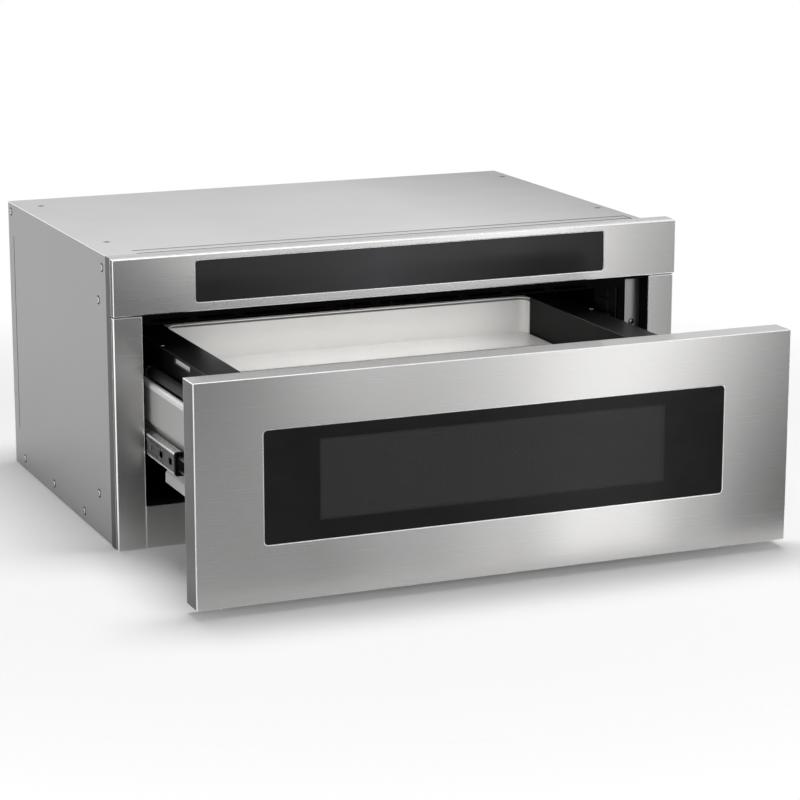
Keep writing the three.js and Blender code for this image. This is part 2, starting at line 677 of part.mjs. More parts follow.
function fanWheel() {
  const hub = rod("y", fanY - 6, fanY + 9, blowerX, blowerZ, 13, 20);
  const blades = Array.from({ length: 6 }, (_, i) => {
    const geometry = new THREE.BoxGeometry(38, 1.8, 22);
    geometry.rotateX(0.5);
    geometry.translate(30.5, 0, 0);
    geometry.rotateY((i * Math.PI) / 3);
    geometry.translate(blowerX, fanY + 1, blowerZ);
    return toSolid(geometry);
  });
  const bore = rod("y", fanY - 8, fanY + 7.5, blowerX, blowerZ, 2.9, 12);
  return cut(join(hub, ...blades), bore);
}

function powerBoard() {
  const [x0, x1] = [bodyL + 44, bodyX - 118];
  const [y0, y1] = [stirY - 80, stirY + 90];
  const z = domeZ + 8;
  let board = box(x0, x1, y0, y1, z, z + 1.6);
  for (const x of [x0 + 6, x1 - 6]) {
    for (const y of [y0 + 6, y1 - 6]) board = join(board, rod("z", domeZ, z + 1, x, y, 3, 8));
  }
  const parts = [
    [x0 + 10, x0 + 38, y0 + 14, y0 + 34, 18],
    [x0 + 10, x0 + 38, y0 + 40, y0 + 60, 18],
    [x0 + 10, x0 + 38, y0 + 66, y0 + 86, 18],
    [x0 + 60, x0 + 105, y0 + 20, y0 + 58, 32],
    [x0 + 50, x0 + 110, y1 - 42, y1 - 36, 24],
    [x1 - 26, x1 - 14, y0 + 20, y0 + 70, 12],
  ];
  for (const [a, b, c, d, h] of parts) board = join(board, box(a, b, c, d, z + 1, z + h));
  for (const y of [y1 - 24, y1 - 60]) {
    board = join(board, rod("z", z + 1, z + 26, x0 + 26, y, 9, 14));
  }
  return board;
}

function terminalBlock() {
  const [x, y, z] = [inletX - 46, BODY_D - 42, SHEET + GAP];
  let block = box(x - 30, x + 30, y - 12, y + 12, z, z + 26);
  for (const s of [-1, 0, 1]) {
    block = cut(block, box(x + s * 19 - 7, x + s * 19 + 7, y - 20, y + 4, z + 12, z + 30));
    block = cut(block, rod("y", y, y + 20, x + s * 19, z + 19, 3.5, 10));
  }
  return block;
}

function gland() {
  const profile = [
    [5, BODY_D - 12],
    [10.6, BODY_D - 12],
    [10.6, BODY_D + GAP],
    [14, BODY_D + GAP],
    [12.5, BODY_D + 5],
    [5, BODY_D + 5],
    [5, BODY_D - 12],
  ];
  return lathe("y", inletX, inletZ, profile);
}

function lamp() {
  const [x, y] = [lampX, stirY];
  const z = domeZ;
  const shell = cut(
    box(x - 26, x + 26, y - 22, y + 22, z, z + 42),
    box(x - 24.8, x + 24.8, y - 20.8, y + 20.8, z - 1, z + 40.8),
  );
  const socket = rod("z", z + 22, z + 41.5, x, y, 12, 16);
  const bulb = lathe("z", x, y, [
    [0, z + 1],
    [5, z + 2.4],
    [8.6, z + 7],
    [8.6, z + 13],
    [6, z + 19],
    [6, z + 23],
    [0, z + 23],
  ], 14);
  return join(shell, socket, bulb);
}

add(chassis, "magnetron", magnetron(), "zinc");
add(chassis, "hv_transformer", transformer(), "copper");
add(chassis, "hv_capacitor", capacitor(), "zinc");
add(chassis, "blower_housing", blowerHousing(), "plastic");
add(chassis, "blower_motor", blowerMotor(), "motor");
add(chassis, "fan_wheel", fanWheel(), "nylon");
add(chassis, "power_board", powerBoard(), "board");
add(chassis, "terminal_block", terminalBlock(), "plastic");
add(chassis, "cord_gland", gland(), "plastic");
add(chassis, "cavity_lamp", lamp(), "zinc");

// ---------------------------------------------------------------- slides
function channel(uWeb, uLip, high, side, y0, y1) {
  const half = RAIL_SHEET / 2;
  const inward = Math.sign(uLip - uWeb);
  const web = uWeb + inward * half;
  const z = high / 2 - half;
  const curl = 2.2;
  const profile = folded([
    [uLip, railZ - z + curl],
    [uLip - inward * curl, railZ - z],
    [web, railZ - z],
    [web, railZ + z],
    [uLip - inward * curl, railZ + z],
    [uLip, railZ + z - curl],
  ], RAIL_SHEET, 2);
  return uPrism(side, y0, y1, profile);
}

function railHoles(side, uWeb, count, y0, y1) {
  const pitch = (y1 - y0 - 60) / (count - 1);
  const holes = Array.from({ length: count }, (_, i) => {
    const y = y0 + 14 + i * pitch;
    return i % 3 === 2 ? circle(y, railZ, 2.6, 10) : roundRect(y - 6, y + 6, railZ - 4, railZ + 4,
      1.5, 1);
  });
  return prisms("x", ...span(side, uWeb - 3, uWeb + 3), holes);
}

// A plastic end piece in front of the middle rail, open on the side where the inner rail runs.
function railBumper(side) {
  const [u0, u1] = [bracketU - 4.6, railU];
  const high = RAIL_H / 2;
  const open = (RAIL_H - 8.5) / 2 + 0.8;
  const inside = bracketU + 4;
  const outline = [
    [u0, railZ - high],
    [u1 - 1.5, railZ - high],
    [u1, railZ - high + 1.5],
    [u1, railZ + high - 1.5],
    [u1 - 1.5, railZ + high],
    [u0, railZ + high],
    [u0, railZ + open],
    [inside, railZ + open],
    [inside, railZ - open],
    [u0, railZ - open],
  ];
  return uPrism(side, RAIL_FRONT - GAP - 5, RAIL_FRONT - GAP, outline);
}

for (const [name, side] of both) {
  const outer = channel(chamberU - GAP, railU - 6, RAIL_H + 9.5, side, bodyY + GAP, railEnd);
  add(chassis, `${name}_outer_rail`, outer, "rail");
  const ribs = [-1, 1].map((up) => uBox(side, railU - 0.5, railU + 0.7, RAIL_FRONT + 62,
    railEnd - 8, railZ + up * 7.5 - 0.7, railZ + up * 7.5 + 0.7));
  const mid = cut(
    join(channel(railU, bracketU - 4.6, RAIL_H, side, RAIL_FRONT, railEnd), ...ribs),
    railHoles(side, railU, 10, RAIL_FRONT, railEnd),
  );
  add(middle, `${name}_middle_rail`, mid, "zinc");
  add(middle, `${name}_rail_bumper`, railBumper(side), "plastic");
  const inner = cut(
    channel(bracketU - 7.3, bracketU + 3.4, RAIL_H - 8.5, side, RAIL_FRONT, railEnd),
    railHoles(side, bracketU - 7.3, 7, RAIL_FRONT, railEnd),
  );
  add(drawer, `${name}_inner_rail`, inner, "rail");
}

// ---------------------------------------------------------------- rack and pinion
const pressure = (20 * Math.PI) / 180;
const pitch = Math.PI * GEAR_MODULE;
const slack = 0.16 * GEAR_MODULE; // taken off the thickness of every tooth

function pinion() {
  const base = pinionR * Math.cos(pressure);
  const involute = (angle) => Math.tan(angle) - angle;
  const halfTooth = (pitch / 2 - slack) / 2 / pinionR;
  const flank = (r) => {
    const at = r > base ? involute(Math.acos(base / r)) : 0;
    return halfTooth + involute(pressure) - at;
  };
  const [root, tip] = [pinionR - dedendum, pinionR + addendum];
  const radii = [root, base, pinionR, tip];
  const points = [];
  for (let i = 0; i < PINION_TEETH; i++) {
    // a gap between two teeth faces straight up, where a tooth of the rack stands
    const centre = Math.PI / 2 + ((i + 0.5) * 2 * Math.PI) / PINION_TEETH;
    for (const r of radii) {
      const a = centre - flank(r);
      points.push([pinionY + r * Math.cos(a), pinionZ + r * Math.sin(a)]);
    }
    for (const r of [...radii].reverse()) {
      const a = centre + flank(r);
      points.push([pinionY + r * Math.cos(a), pinionZ + r * Math.sin(a)]);
    }
  }
  const gear = prism("x", bodyX - 5, bodyX + 5, points, [circle(pinionY, pinionZ, 4, 16)]);
  const hub = cut(
    rod("x", bodyX - 7.5, bodyX + 7.5, pinionY, pinionZ, 7.5, 20),
    rod("x", bodyX - 9, bodyX + 9, pinionY, pinionZ, 4, 16),
  );
  return join(gear, hub);
}

function rack() {
  // one tooth of the rack stands over the pinion's centre when the drawer is as drawn
  const here = pinionY + REST_OPEN;
  const before = Math.ceil((travel + 22) / pitch) - Math.ceil((travel - REST_OPEN) / pitch);
  const after = Math.ceil((travel - REST_OPEN + 10) / pitch);
  const tipZ = rackPitchZ - addendum;
  const rootZ = rackPitchZ + dedendum;
  const halfPitch = (pitch / 2 - slack) / 2;
  const slope = Math.tan(pressure);
  const points = [[here - (before + 0.5) * pitch, tubFloor - TUB_SHEET - GAP]];
  points.push([here - (before + 0.5) * pitch, rootZ]);
  for (let i = -before; i <= after; i++) {
    const y = here + i * pitch;
    const wide = halfPitch + dedendum * slope;
    const narrow = halfPitch - addendum * slope;
    points.push([y - wide, rootZ], [y - narrow, tipZ], [y + narrow, tipZ], [y + wide, rootZ]);
  }
  points.push([here + (after + 0.5) * pitch, rootZ]);
  points.push([here + (after + 0.5) * pitch, tubFloor - TUB_SHEET - GAP]);
  return prism("x", bodyX - 6, bodyX + 6, points);
}

function gearmotor() {
  const x = bodyX + 9;
  const box1 = prism("x", x, x + 30,
    roundRect(bodyY + 2, pinionY + 38, SHEET + 10, floorZ - 3, 5));
  const foot = box(x, x + 30, bodyY + 6, pinionY + 50, SHEET + GAP, SHEET + 12);
  const motor = rod("x", x + 29, x + 92, pinionY + 8, SHEET + 28, 17, 24);
  const nose = rod("x", x + 90, x + 97, pinionY + 8, SHEET + 28, 7, 16);
  const shaft = rod("x", bodyX - 9, x + 2, pinionY, pinionZ, 3.7, 16);
  return join(box1, foot, motor, nose, shaft);
}

add(chassis, "drive_pinion", pinion(), "nylon");
add(drawer, "drive_rack", rack(), "nylon");
add(chassis, "drive_gearmotor", gearmotor(), "motor");

// ---------------------------------------------------------------- drawer front
function frontSkin() {
  const t = TUB_SHEET;
  const outside = box(-halfW, halfW, frontY, backY, DRAWER_BOTTOM, drawerTop);
  const inside = box(-halfW + t, halfW - t, frontY + t, backY + 1, DRAWER_BOTTOM + t,
    drawerTop - t);
  const seat = prism("y", frontY - 1, frontY + 5,
    roundRect(windowL - GAP, windowR + GAP, windowB - GAP, windowT + GAP, 4.4));
  return cut(outside, inside, seat);
}

function innerFrame() {
  const m = TUB_SHEET + GAP;
  const [x0, x1] = [-halfW + m, halfW - m];
  const [z0, z1] = [DRAWER_BOTTOM + m, drawerTop - m];
  const [y0, y1] = [frontY + m, backY - 0.3];
  const seatY = frontY + 4.9; // behind the window glass
  const tray = cut(
    box(x0, x1, y0, y1, z0, z1),
    box(x0 + 2, x1 - 2, y0 - 1, y1 - 2, z0 + 2, z1 - 2),
  );
  const ribs = [x0 + 60, bodyX - 150, bodyX + 150, x1 - 60].map((x) => box(x, x + 2, seatY,
    y1 - 1, z0 + 1, z1 - 1));
  const seat = box(windowL - 4, windowR + 4, seatY, seatY + 2, windowB - 4, windowT + 4);
  const tunnel = box(meshL - 2, meshR + 2, seatY, y1, meshB - 2, meshT + 2);
  const way = prism("y", y0 - 2, y1 + 2, roundRect(meshL, meshR, meshB, meshT, 5));
  return cut(join(tray, ...ribs, seat, tunnel), way);
}

function sealRing() {
  const [x, z0, z1] = [halfW - 15, DRAWER_BOTTOM + 14, drawerTop - 6];
  const ring = prism("y", backY + 0.1, -0.7, roundRect(-x, x, z0, z1, 10),
    [roundRect(-x + 11, x - 11, z0 + 11, z1 - 11, 5)]);
  const groove = prism("y", -2.4, 0, roundRect(-x + 4, x - 4, z0 + 4, z1 - 4, 8),
    [roundRect(-x + 7, x - 7, z0 + 7, z1 - 7, 6)]);
  return cut(ring, groove);
}

add(drawer, "drawer_front_skin", frontSkin(), "brushed");
add(drawer, "window_glass", prism("y", frontY + 0.3, frontY + 4.5,
  roundRect(windowL, windowR, windowB, windowT, 4)), "glass");
add(drawer, "drawer_inner_frame", innerFrame(), "black");
add(drawer, "window_screen", prism("y", frontY + 6, frontY + 7,
  roundRect(meshL + GAP, meshR - GAP, meshB + GAP, meshT - GAP, 4.6)), "black");
add(drawer, "inner_window", prism("y", backY - 6, backY - 3,
  roundRect(meshL + GAP, meshR - GAP, meshB + GAP, meshT - GAP, 4.6)), "clear");
add(drawer, "drawer_seal", sealRing(), "rubber");

// ---------------------------------------------------------------- drawer tub and sides
function tub() {
  const t = TUB_SHEET;
  const ledgeZ = rimZ - LEDGE_DROP;
  const ledgeY = tubBack - LEDGE_DEPTH;
  const tank = (grow, y0, top) => join(
    prism("z", tubFloor - grow, top, roundRect(X(-1, tubU + grow), X(1, tubU + grow), y0,
      ledgeY + grow, 14 + grow, 4)),
    prism("z", ledgeZ - grow, top, roundRect(X(-1, tubU + grow), X(1, tubU + grow),
      ledgeY - 60, tubBack + grow, 8 + grow, 4)),
    prism("z", tubFloor - grow, top, rect(X(-1, tubU + grow), X(1, tubU + grow), y0,
      ledgeY - 30)),
  );
  const y0 = backY + GAP;
  const keepFront = box(-halfW, halfW, y0, BODY_D, 0, rimZ);
  const shell = cut(tank(t, y0 - 20, rimZ).intersect(keepFront), tank(0, y0 - 40, rimZ + 20));
  // the enamelled sheet turns up only a little along the sides, but up to the rim at the back
  const sides = both.map(([, side]) => uBox(side, tubU - 1, tubU + t + 1, y0 - 1, tubBack - 15,
    tubFloor + 14, rimZ + 1));
  // a flat flange with square corners round the top of the back wall, hemmed down behind it
  const behind = tubBack + 3.9;
  const flange = prism("z", rimZ - 1.5, rimZ, rect(X(-1, tubU + t), X(1, tubU + t), tubBack - 15,
    behind));
  const mouth = prism("z", rimZ - 3, rimZ + 1, roundRect(X(-1, tubU - 1), X(1, tubU - 1),
    tubBack - 60, tubBack - RIM_LIP, 12, 4));
  const hem = box(X(-1, tubU - 16), X(1, tubU - 16), behind - SHEET, behind, rimZ - 6, rimZ - 1);
  return join(cut(shell, ...sides), cut(flange, mouth), hem);
}

function sideWall(side) {
  const [u0, u1] = [wallU - WALL_W + 0.6, wallU - 0.6];
  const low = tubFloor + 3;
  const top = rimZ - 0.6;
  const profile = folded([[u0, low], [u0, top], [u1, top], [u1, low + 22]], SHEET, 1);
  const wall = uPrism(side, backY + 0.5, tubBack + 2, profile);
  const slot = roundRect(WALL_SLOT, WALL_SLOT + 58, rimZ - 10, rimZ - 3, 1, 1);
  return cut(wall, prism("x", ...span(side, u1 - 5, u1 + 5), slot));
}

function bracket(side) {
  const u = bracketU - 0.8;
  const top = bracketTop;
  const web = u - 7.9;
  const profile = folded([
    [wallU + 1.2, top - 30],
    [wallU + 1.2, top - 10],
    [u - 6, top],
    [u, top - 1],
    [u, railZ + 25],
    [web, railZ + 17],
    [web, railZ - 18],
    [u - 0.6, railZ - 25],
    [u - 0.6, railZ - 37],
  ], 1.6, 2);
  const long = uPrism(side, backY + 0.5, railEnd, profile);
  const upper = uBox(side, wallU, bracketU + 4, BRACKET_UPPER, BODY_D, railZ + 19, rimZ);
  const lower = uBox(side, wallU, bracketU + 4, BRACKET_LOWER, BODY_D, 0, railZ - 20);
  return cut(long, upper, lower);
}

function bufferRod(side) {
  const z = bracketTop + 8.3;
  const u = wallU + 7.7;
  const bar = uPrism(side, backY + 0.5, ROD_REACH, circle(u, z, 7, 12));
  const saddles = [30, ROD_REACH / 2, ROD_REACH - 30].map((y) => uBox(side, u - 1, u + 3, y,
    y + 12, z - 8.6, z - 3));
  return join(bar, ...saddles);
}

function latchHook(side) {
  const [u0, u1] = [bracketU + 0.8, bracketU + 5.8];
  const z = rimZ - 3;
  const profile = [
    [backY + 0.2, z - 14],
    [backY + 3, z - 14],
    [backY + 8, z - 7],
    [34, z - 7],
    [34, z - 11],
    [40, z - 11],
    [48, z - 3],
    [48, z],
    [44, z + 3],
    [backY + 8, z + 3],
    [backY + 3, z + 10],
    [backY + 0.2, z + 10],
  ];
  return prism("x", ...span(side, u0, u1), profile);
}

function interlock(side) {
  const [u0, u1] = [bracketU + 8.6, chamberU - GAP];
  const z = rimZ - 3;
  const plate = uBox(side, u1 - 1.2, u1, 30, 92, z - 26, z + 30);
  const switches = [z - 24, z - 6, z + 12].map((low) => uBox(side, u0 + 1, u1 - 1, 46, 74, low,
    low + 15));
  const levers = [z - 24, z - 6, z + 12].map((low) => uBox(side, u0, u0 + 1.4, 48, 66, low + 6,
    low + 9));
  return join(plate, ...switches, ...levers);
}

add(drawer, "drawer_tub", tub(), "enamel");
for (const [name, side] of both) {
  add(drawer, `${name}_side_wall`, sideWall(side), "black");
  add(drawer, `${name}_rail_bracket`, bracket(side), "bracket");
  add(drawer, `${name}_buffer_rod`, bufferRod(side), "rubber");
  add(drawer, `${name}_latch_hook`, latchHook(side), "plastic");
  add(chassis, `${name}_interlock`, interlock(side), "plastic");
}

export default whole;
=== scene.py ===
import json
import math

import bmesh
import bpy
from mathutils import Matrix, Vector


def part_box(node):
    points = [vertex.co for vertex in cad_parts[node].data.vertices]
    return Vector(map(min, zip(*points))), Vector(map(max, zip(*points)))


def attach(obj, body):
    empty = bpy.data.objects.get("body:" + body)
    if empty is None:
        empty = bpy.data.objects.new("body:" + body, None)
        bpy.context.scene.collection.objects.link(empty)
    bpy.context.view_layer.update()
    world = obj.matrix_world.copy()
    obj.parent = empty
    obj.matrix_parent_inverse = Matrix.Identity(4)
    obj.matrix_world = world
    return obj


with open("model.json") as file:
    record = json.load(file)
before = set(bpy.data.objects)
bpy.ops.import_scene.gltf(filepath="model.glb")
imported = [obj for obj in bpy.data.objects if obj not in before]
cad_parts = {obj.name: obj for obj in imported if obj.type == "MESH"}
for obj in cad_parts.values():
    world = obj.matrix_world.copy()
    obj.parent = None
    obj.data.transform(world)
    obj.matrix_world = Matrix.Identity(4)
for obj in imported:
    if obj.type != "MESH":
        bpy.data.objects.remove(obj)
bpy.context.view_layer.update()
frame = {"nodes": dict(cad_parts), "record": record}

# Lengths are in metres and colours are linear. +X is right as seen from the front, +Y back, +Z up.

# ------------------------------------------------------------------ camera
# Fitted to the photograph's corners: where it stands, how it is turned, and its focal length.
CAMERA_PLACE = (-1.3057, -3.3297, 0.9451)
CAMERA_TILT = 76.76  # degrees from straight down
CAMERA_TURN = -22.807  # degrees about the vertical
CAMERA_LENS = 122.98  # mm
SENSOR_WIDTH = 36  # mm
CAMERA_RANGE = (0.05, 60)  # the nearest and the farthest that it sees


def add_camera():
    data = bpy.data.cameras.new("camera")
    data.sensor_width = SENSOR_WIDTH
    data.lens = CAMERA_LENS
    data.clip_start, data.clip_end = CAMERA_RANGE
    camera = bpy.data.objects.new("camera", data)
    camera.location = CAMERA_PLACE
    camera.rotation_euler = (math.radians(CAMERA_TILT), 0, math.radians(CAMERA_TURN))
    bpy.context.scene.collection.objects.link(camera)
    bpy.context.scene.camera = camera


# ------------------------------------------------------------------ node helpers
class Nodes:
    """A node tree with short ways to add the nodes that the finishes share."""

    def __init__(self, tree, shader=None):
        self.tree = tree
        self.shader = shader
        self.place = None

    def add(self, kind, inputs=None, **settings):
        node = self.tree.nodes.new(kind)
        for name, value in settings.items():
            setattr(node, name, value)
        for name, value in (inputs or {}).items():
            self.feed(node.inputs[name], value)
        return node

    def feed(self, socket, value):
        if isinstance(value, bpy.types.NodeSocket):
            self.tree.links.new(value, socket)
        else:
            socket.default_value = value

    def coat(self, **sockets):
        """Feeds sockets of the shader, each by its name with _ for a space."""
        for name, value in sockets.items():
            self.feed(self.shader.inputs[name.replace("_", " ")], value)

    def coordinates(self):
        if self.place is None:
            self.place = self.add("ShaderNodeTexCoord").outputs["Object"]
        return self.place

    def axes(self):
        split = self.add("ShaderNodeSeparateXYZ", {"Vector": self.coordinates()})
        return split.outputs[0], split.outputs[1], split.outputs[2]

    def facing(self, axis):
        """How far the surface faces along an axis, from -1 to 1."""
        normal = self.add("ShaderNodeNewGeometry").outputs["Normal"]
        return self.add("ShaderNodeSeparateXYZ", {"Vector": normal}).outputs[axis]

    def scaled(self, scale):
        inputs = {"Vector": self.coordinates(), "Scale": scale}
        return self.add("ShaderNodeMapping", inputs).outputs[0]

    def noise(self, scale, detail=3.0, roughness=0.5):
        """Noise whose cells are 1 / scale metres long on each axis."""
        inputs = {"Vector": self.scaled(scale), "Scale": 1.0,
                  "Detail": detail, "Roughness": roughness}
        return self.add("ShaderNodeTexNoise", inputs).outputs[0]

    def between(self, value, low, high, start=0.0, end=1.0):
        """Low where value is start, high where it is end, and no further on either side."""
        inputs = {"Value": value, "From Min": start, "From Max": end,
                  "To Min": low, "To Max": high}
        return self.add("ShaderNodeMapRange", inputs).outputs[0]

    def math(self, operation, a, b=0.0):
        node = self.add("ShaderNodeMath", operation=operation)
        self.feed(node.inputs[0], a)
        self.feed(node.inputs[1], b)
        return node.outputs[0]

    def weigh(self, a, a_share, b, b_share):
        return self.math("ADD", self.math("MULTIPLY", a, a_share),
                         self.math("MULTIPLY", b, b_share))

    def blend(self, share, first, second):
        """The first colour where share is 0 and the second where it is 1."""
        node = self.add("ShaderNodeMix", data_type="RGBA")
        self.feed(node.inputs[0], share)
        self.feed(node.inputs[6], first)
        self.feed(node.inputs[7], second)
        return node.outputs[2]

    def tint(self, value, dark, light):
        return self.blend(value, (*dark, 1.0), (*light, 1.0))

    def bump(self, height, depth):
        inputs = {"Height": height, "Distance": depth, "Strength": 1.0}
        return self.add("ShaderNodeBump", inputs).outputs[0]


def shade(colour, factor):
    return tuple(min(1.0, c * factor) for c in colour)


def grey(level, warm=0.0):
    """A linear grey; warm shifts it towards yellow."""
    return (level * (1 + warm), level, level * (1 - 1.6 * warm))


def new_finish(name, **sockets):
    """A material with one Principled shader; what is the same all over is set on its sockets."""
    material = bpy.data.materials.new(name)
    material.use_nodes = True
    tree = material.node_tree
    nodes = Nodes(tree, tree.nodes["Principled BSDF"])
    nodes.coat(**sockets)
    return material, nodes


# ------------------------------------------------------------------ finishes
# Patterns that several finishes share: cells a metre on each axis, and the depth of their bump.
ENAMEL_PEEL = (420, 420, 420)
ENAMEL_PEEL_DEPTH = 0.00004
ENAMEL_CLOUDS = (14, 14, 14)
SHEET_CLOUDS = (9, 9, 7)
DRAWN_LINES = (700, 6, 700)
DRAWN_LINES_DEPTH = 0.00002
BLOTCHES = (60, 60, 60)
GLASS_SMEAR = (18, 18, 30)


def brushed_steel(name, base, side_shade):
    """Stainless sheet brushed along X: fine lines, a broad drift of tone and a stretched gloss.
    The folds that face sideways are painted darker, by the given share: a painted shade."""
    material, nodes = new_finish(name, Metallic=1.0, Anisotropic=0.8)
    lines = nodes.noise((5, 2400, 2400), 2, 0.6)
    drift = nodes.noise((2.2, 3, 3), 2)
    tone = nodes.weigh(lines, 0.7, drift, 0.3)
    dark, light = 0.987, 1.013
    face = nodes.tint(tone, shade(base, dark), shade(base, light))
    # painted shade on the folds that face sideways
    side = nodes.tint(tone, shade(base, dark * side_shade), shade(base, light * side_shade))
    sideways = nodes.between(nodes.math("ABSOLUTE", nodes.facing(0)), 0, 1, 0.8, 0.95)
    across = nodes.add("ShaderNodeCombineXYZ", {"X": 0.0, "Y": 1.0, "Z": 1.0}).outputs[0]
    nodes.coat(Base_Color=nodes.blend(sideways, face, side),
               Roughness=nodes.between(lines, 0.26, 0.28),
               Normal=nodes.bump(lines, 0.0000008),
               Tangent=across)
    return material


def edge_highlight():
    """A far brighter metal than the sheets, for their rounded edges: a painted highlight."""
    material, nodes = new_finish("edge_highlight_finish", Metallic=1.0)
    wear = nodes.noise(BLOTCHES, 3)
    nodes.coat(Base_Color=nodes.tint(wear, grey(0.86), grey(0.96)),
               Roughness=nodes.between(wear, 0.2, 0.32))
    return material


def sheet_metal(name, base, roughness):
    """Rolled sheet with a satin coat: faint rolling lines along Z and slow clouds of tone."""
    material, nodes = new_finish(name, Metallic=1.0)
    lines = nodes.noise((300, 300, 12), 3, 0.6)
    clouds = nodes.noise(SHEET_CLOUDS, 3)
    tone = nodes.weigh(lines, 0.5, clouds, 0.5)
    nodes.coat(Base_Color=nodes.tint(tone, shade(base, 0.9), shade(base, 1.1)),
               Roughness=nodes.between(clouds, roughness - 0.05, roughness + 0.05),
               Normal=nodes.bump(lines, 0.00002))
    return material


def enamel(name, base, roughness, specular=0.5):
    """Sprayed and baked enamel: a fine orange peel and a slight unevenness of tone."""
    material, nodes = new_finish(name, Specular_IOR_Level=specular)
    peel = nodes.noise(ENAMEL_PEEL, 2)
    clouds = nodes.noise(ENAMEL_CLOUDS, 3)
    nodes.coat(Base_Color=nodes.tint(clouds, shade(base, 0.94), shade(base, 1.05)),
               Roughness=nodes.between(clouds, roughness - 0.05, roughness + 0.06),
               Normal=nodes.bump(peel, ENAMEL_PEEL_DEPTH))
    return material


def cover_sheet(light, dark, x0, x1, y0, y1):
    """The satin sheet of the top cover, painted darker towards its back and its right end: a
    painted reflection; and painted dark on its small folds, which face sideways: a painted shade."""
    material, nodes = new_finish("top_cover_finish", Metallic=1.0)
    lines = nodes.noise((12, 300, 300), 3, 0.6)
    clouds = nodes.noise((5, 5, 5), 3)
    x, y, _ = nodes.axes()
    tone = nodes.weigh(lines, 0.15, clouds, 0.25)
    # painted reflection: darker towards the back and towards the right end
    tone = nodes.math("ADD", tone, nodes.between(y, 0, 0.35, y0, y1))
    tone = nodes.math("ADD", tone, nodes.between(x, 0, 0.55, x0, x1))
    flat = nodes.tint(tone, grey(light), grey(dark))
    # painted shade on the small folds
    folded = nodes.between(nodes.facing(2), 1, 0, 0.6, 0.95)
    nodes.coat(Base_Color=nodes.blend(folded, flat, (*grey(0.06), 1.0)),
               Roughness=nodes.between(clouds, 0.34, 0.42),
               Normal=nodes.bump(lines, 0.00001))
    return material


def bracket_enamel(base, top_z):
    """The bracket's enamel, painted brighter along its rolled upper edge: a painted highlight."""
    material, nodes = new_finish("bracket_highlight_finish", Specular_IOR_Level=0.5)
    peel = nodes.noise(ENAMEL_PEEL, 2)
    clouds = nodes.noise(ENAMEL_CLOUDS, 3)
    _, _, z = nodes.axes()
    starts, ends = 0.0075, 0.0055  # how far under the top the edge begins to roll, and is round
    # painted highlight along the rolled upper edge
    rolled = nodes.between(z, 0, 0.9, top_z - starts, top_z - ends)
    tone = nodes.math("ADD", nodes.math("MULTIPLY", clouds, 0.1), rolled)
    nodes.coat(Base_Color=nodes.tint(tone, base, grey(0.95)),
               Roughness=nodes.between(clouds, 0.33, 0.42),
               Normal=nodes.bump(peel, ENAMEL_PEEL_DEPTH))
    return material


def lipped_rail(base, z0, z1):
    """A rail member: dull on its web, painted bright along its two curled lips: a painted
    highlight.
    """
    material, nodes = new_finish("lipped_rail_finish", Metallic=1.0, Anisotropic=0.4)
    drawn = nodes.noise(DRAWN_LINES, 4, 0.6)
    blotches = nodes.noise(BLOTCHES, 4)
    tone = nodes.weigh(drawn, 0.5, blotches, 0.5)
    web = nodes.tint(tone, shade(base, 0.85), shade(base, 1.15))
    _, _, z = nodes.axes()
    bright, dull = 0.0028, 0.0036  # a lip is bright this near its edge, and dull from here on
    # painted highlight along the two lips
    lip_highlight = nodes.math("MAXIMUM", nodes.between(z, 1, 0, z0 + bright, z0 + dull),
                      nodes.between(z, 0, 1, z1 - dull, z1 - bright))
    nodes.coat(Base_Color=nodes.blend(lip_highlight, web, (0.82, 0.82, 0.81, 1.0)),
               Roughness=nodes.between(blotches, 0.2, 0.36),
               Normal=nodes.bump(drawn, DRAWN_LINES_DEPTH))
    return material


def tub_enamel(base, rim_z, wall_y):
    """The tub's enamel, with a painted shadow under the flange along the top of its back wall."""
    material, nodes = new_finish("tub_enamel_finish")
    peel = nodes.noise(ENAMEL_PEEL, 2)
    clouds = nodes.noise(ENAMEL_CLOUDS, 3)
    _, y, z = nodes.axes()
    foot = (rim_z - 0.0052, rim_z - 0.0044)  # the heights over which the shadow comes in
    head = (rim_z - 0.0020, rim_z - 0.0016)  # and over which it goes out
    # painted shadow under the flange
    flange_shadow = nodes.math("MULTIPLY", nodes.between(z, 1, 0, *head), nodes.between(z, 0, 1, *foot))
    flange_shadow = nodes.math("MULTIPLY", flange_shadow, nodes.between(y, 0, 1, wall_y - 0.001, wall_y))
    lit = nodes.tint(clouds, shade(base, 0.96), shade(base, 1.03))
    nodes.coat(Base_Color=nodes.blend(flange_shadow, lit, (*shade(base, 0.2), 1.0)),
               Roughness=nodes.between(clouds, 0.15, 0.26),
               Normal=nodes.bump(peel, ENAMEL_PEEL_DEPTH))
    return material


def frame_sheet(inner, outer, edge_x):
    """The frame behind the trim: a bright sheet, painted light against the shade inside the
    opening, and darker on its two outer returns.
    """
    material, nodes = new_finish("frame_sheet_finish", Metallic=1.0)
    clouds = nodes.noise(SHEET_CLOUDS, 3)
    x, _, _ = nodes.axes()
    outside = nodes.between(nodes.math("ABSOLUTE", x), 0, 1, edge_x - 0.001, edge_x - 0.0004)
    # painted light: the face is bright to lift the shade inside the opening
    face = nodes.tint(clouds, grey(inner * 0.92), grey(inner * 1.06))
    returns = nodes.tint(clouds, grey(outer * 0.9), grey(outer * 1.1))
    nodes.coat(Base_Color=nodes.blend(outside, face, returns),
               Roughness=nodes.between(clouds, 0.34, 0.42))
    return material


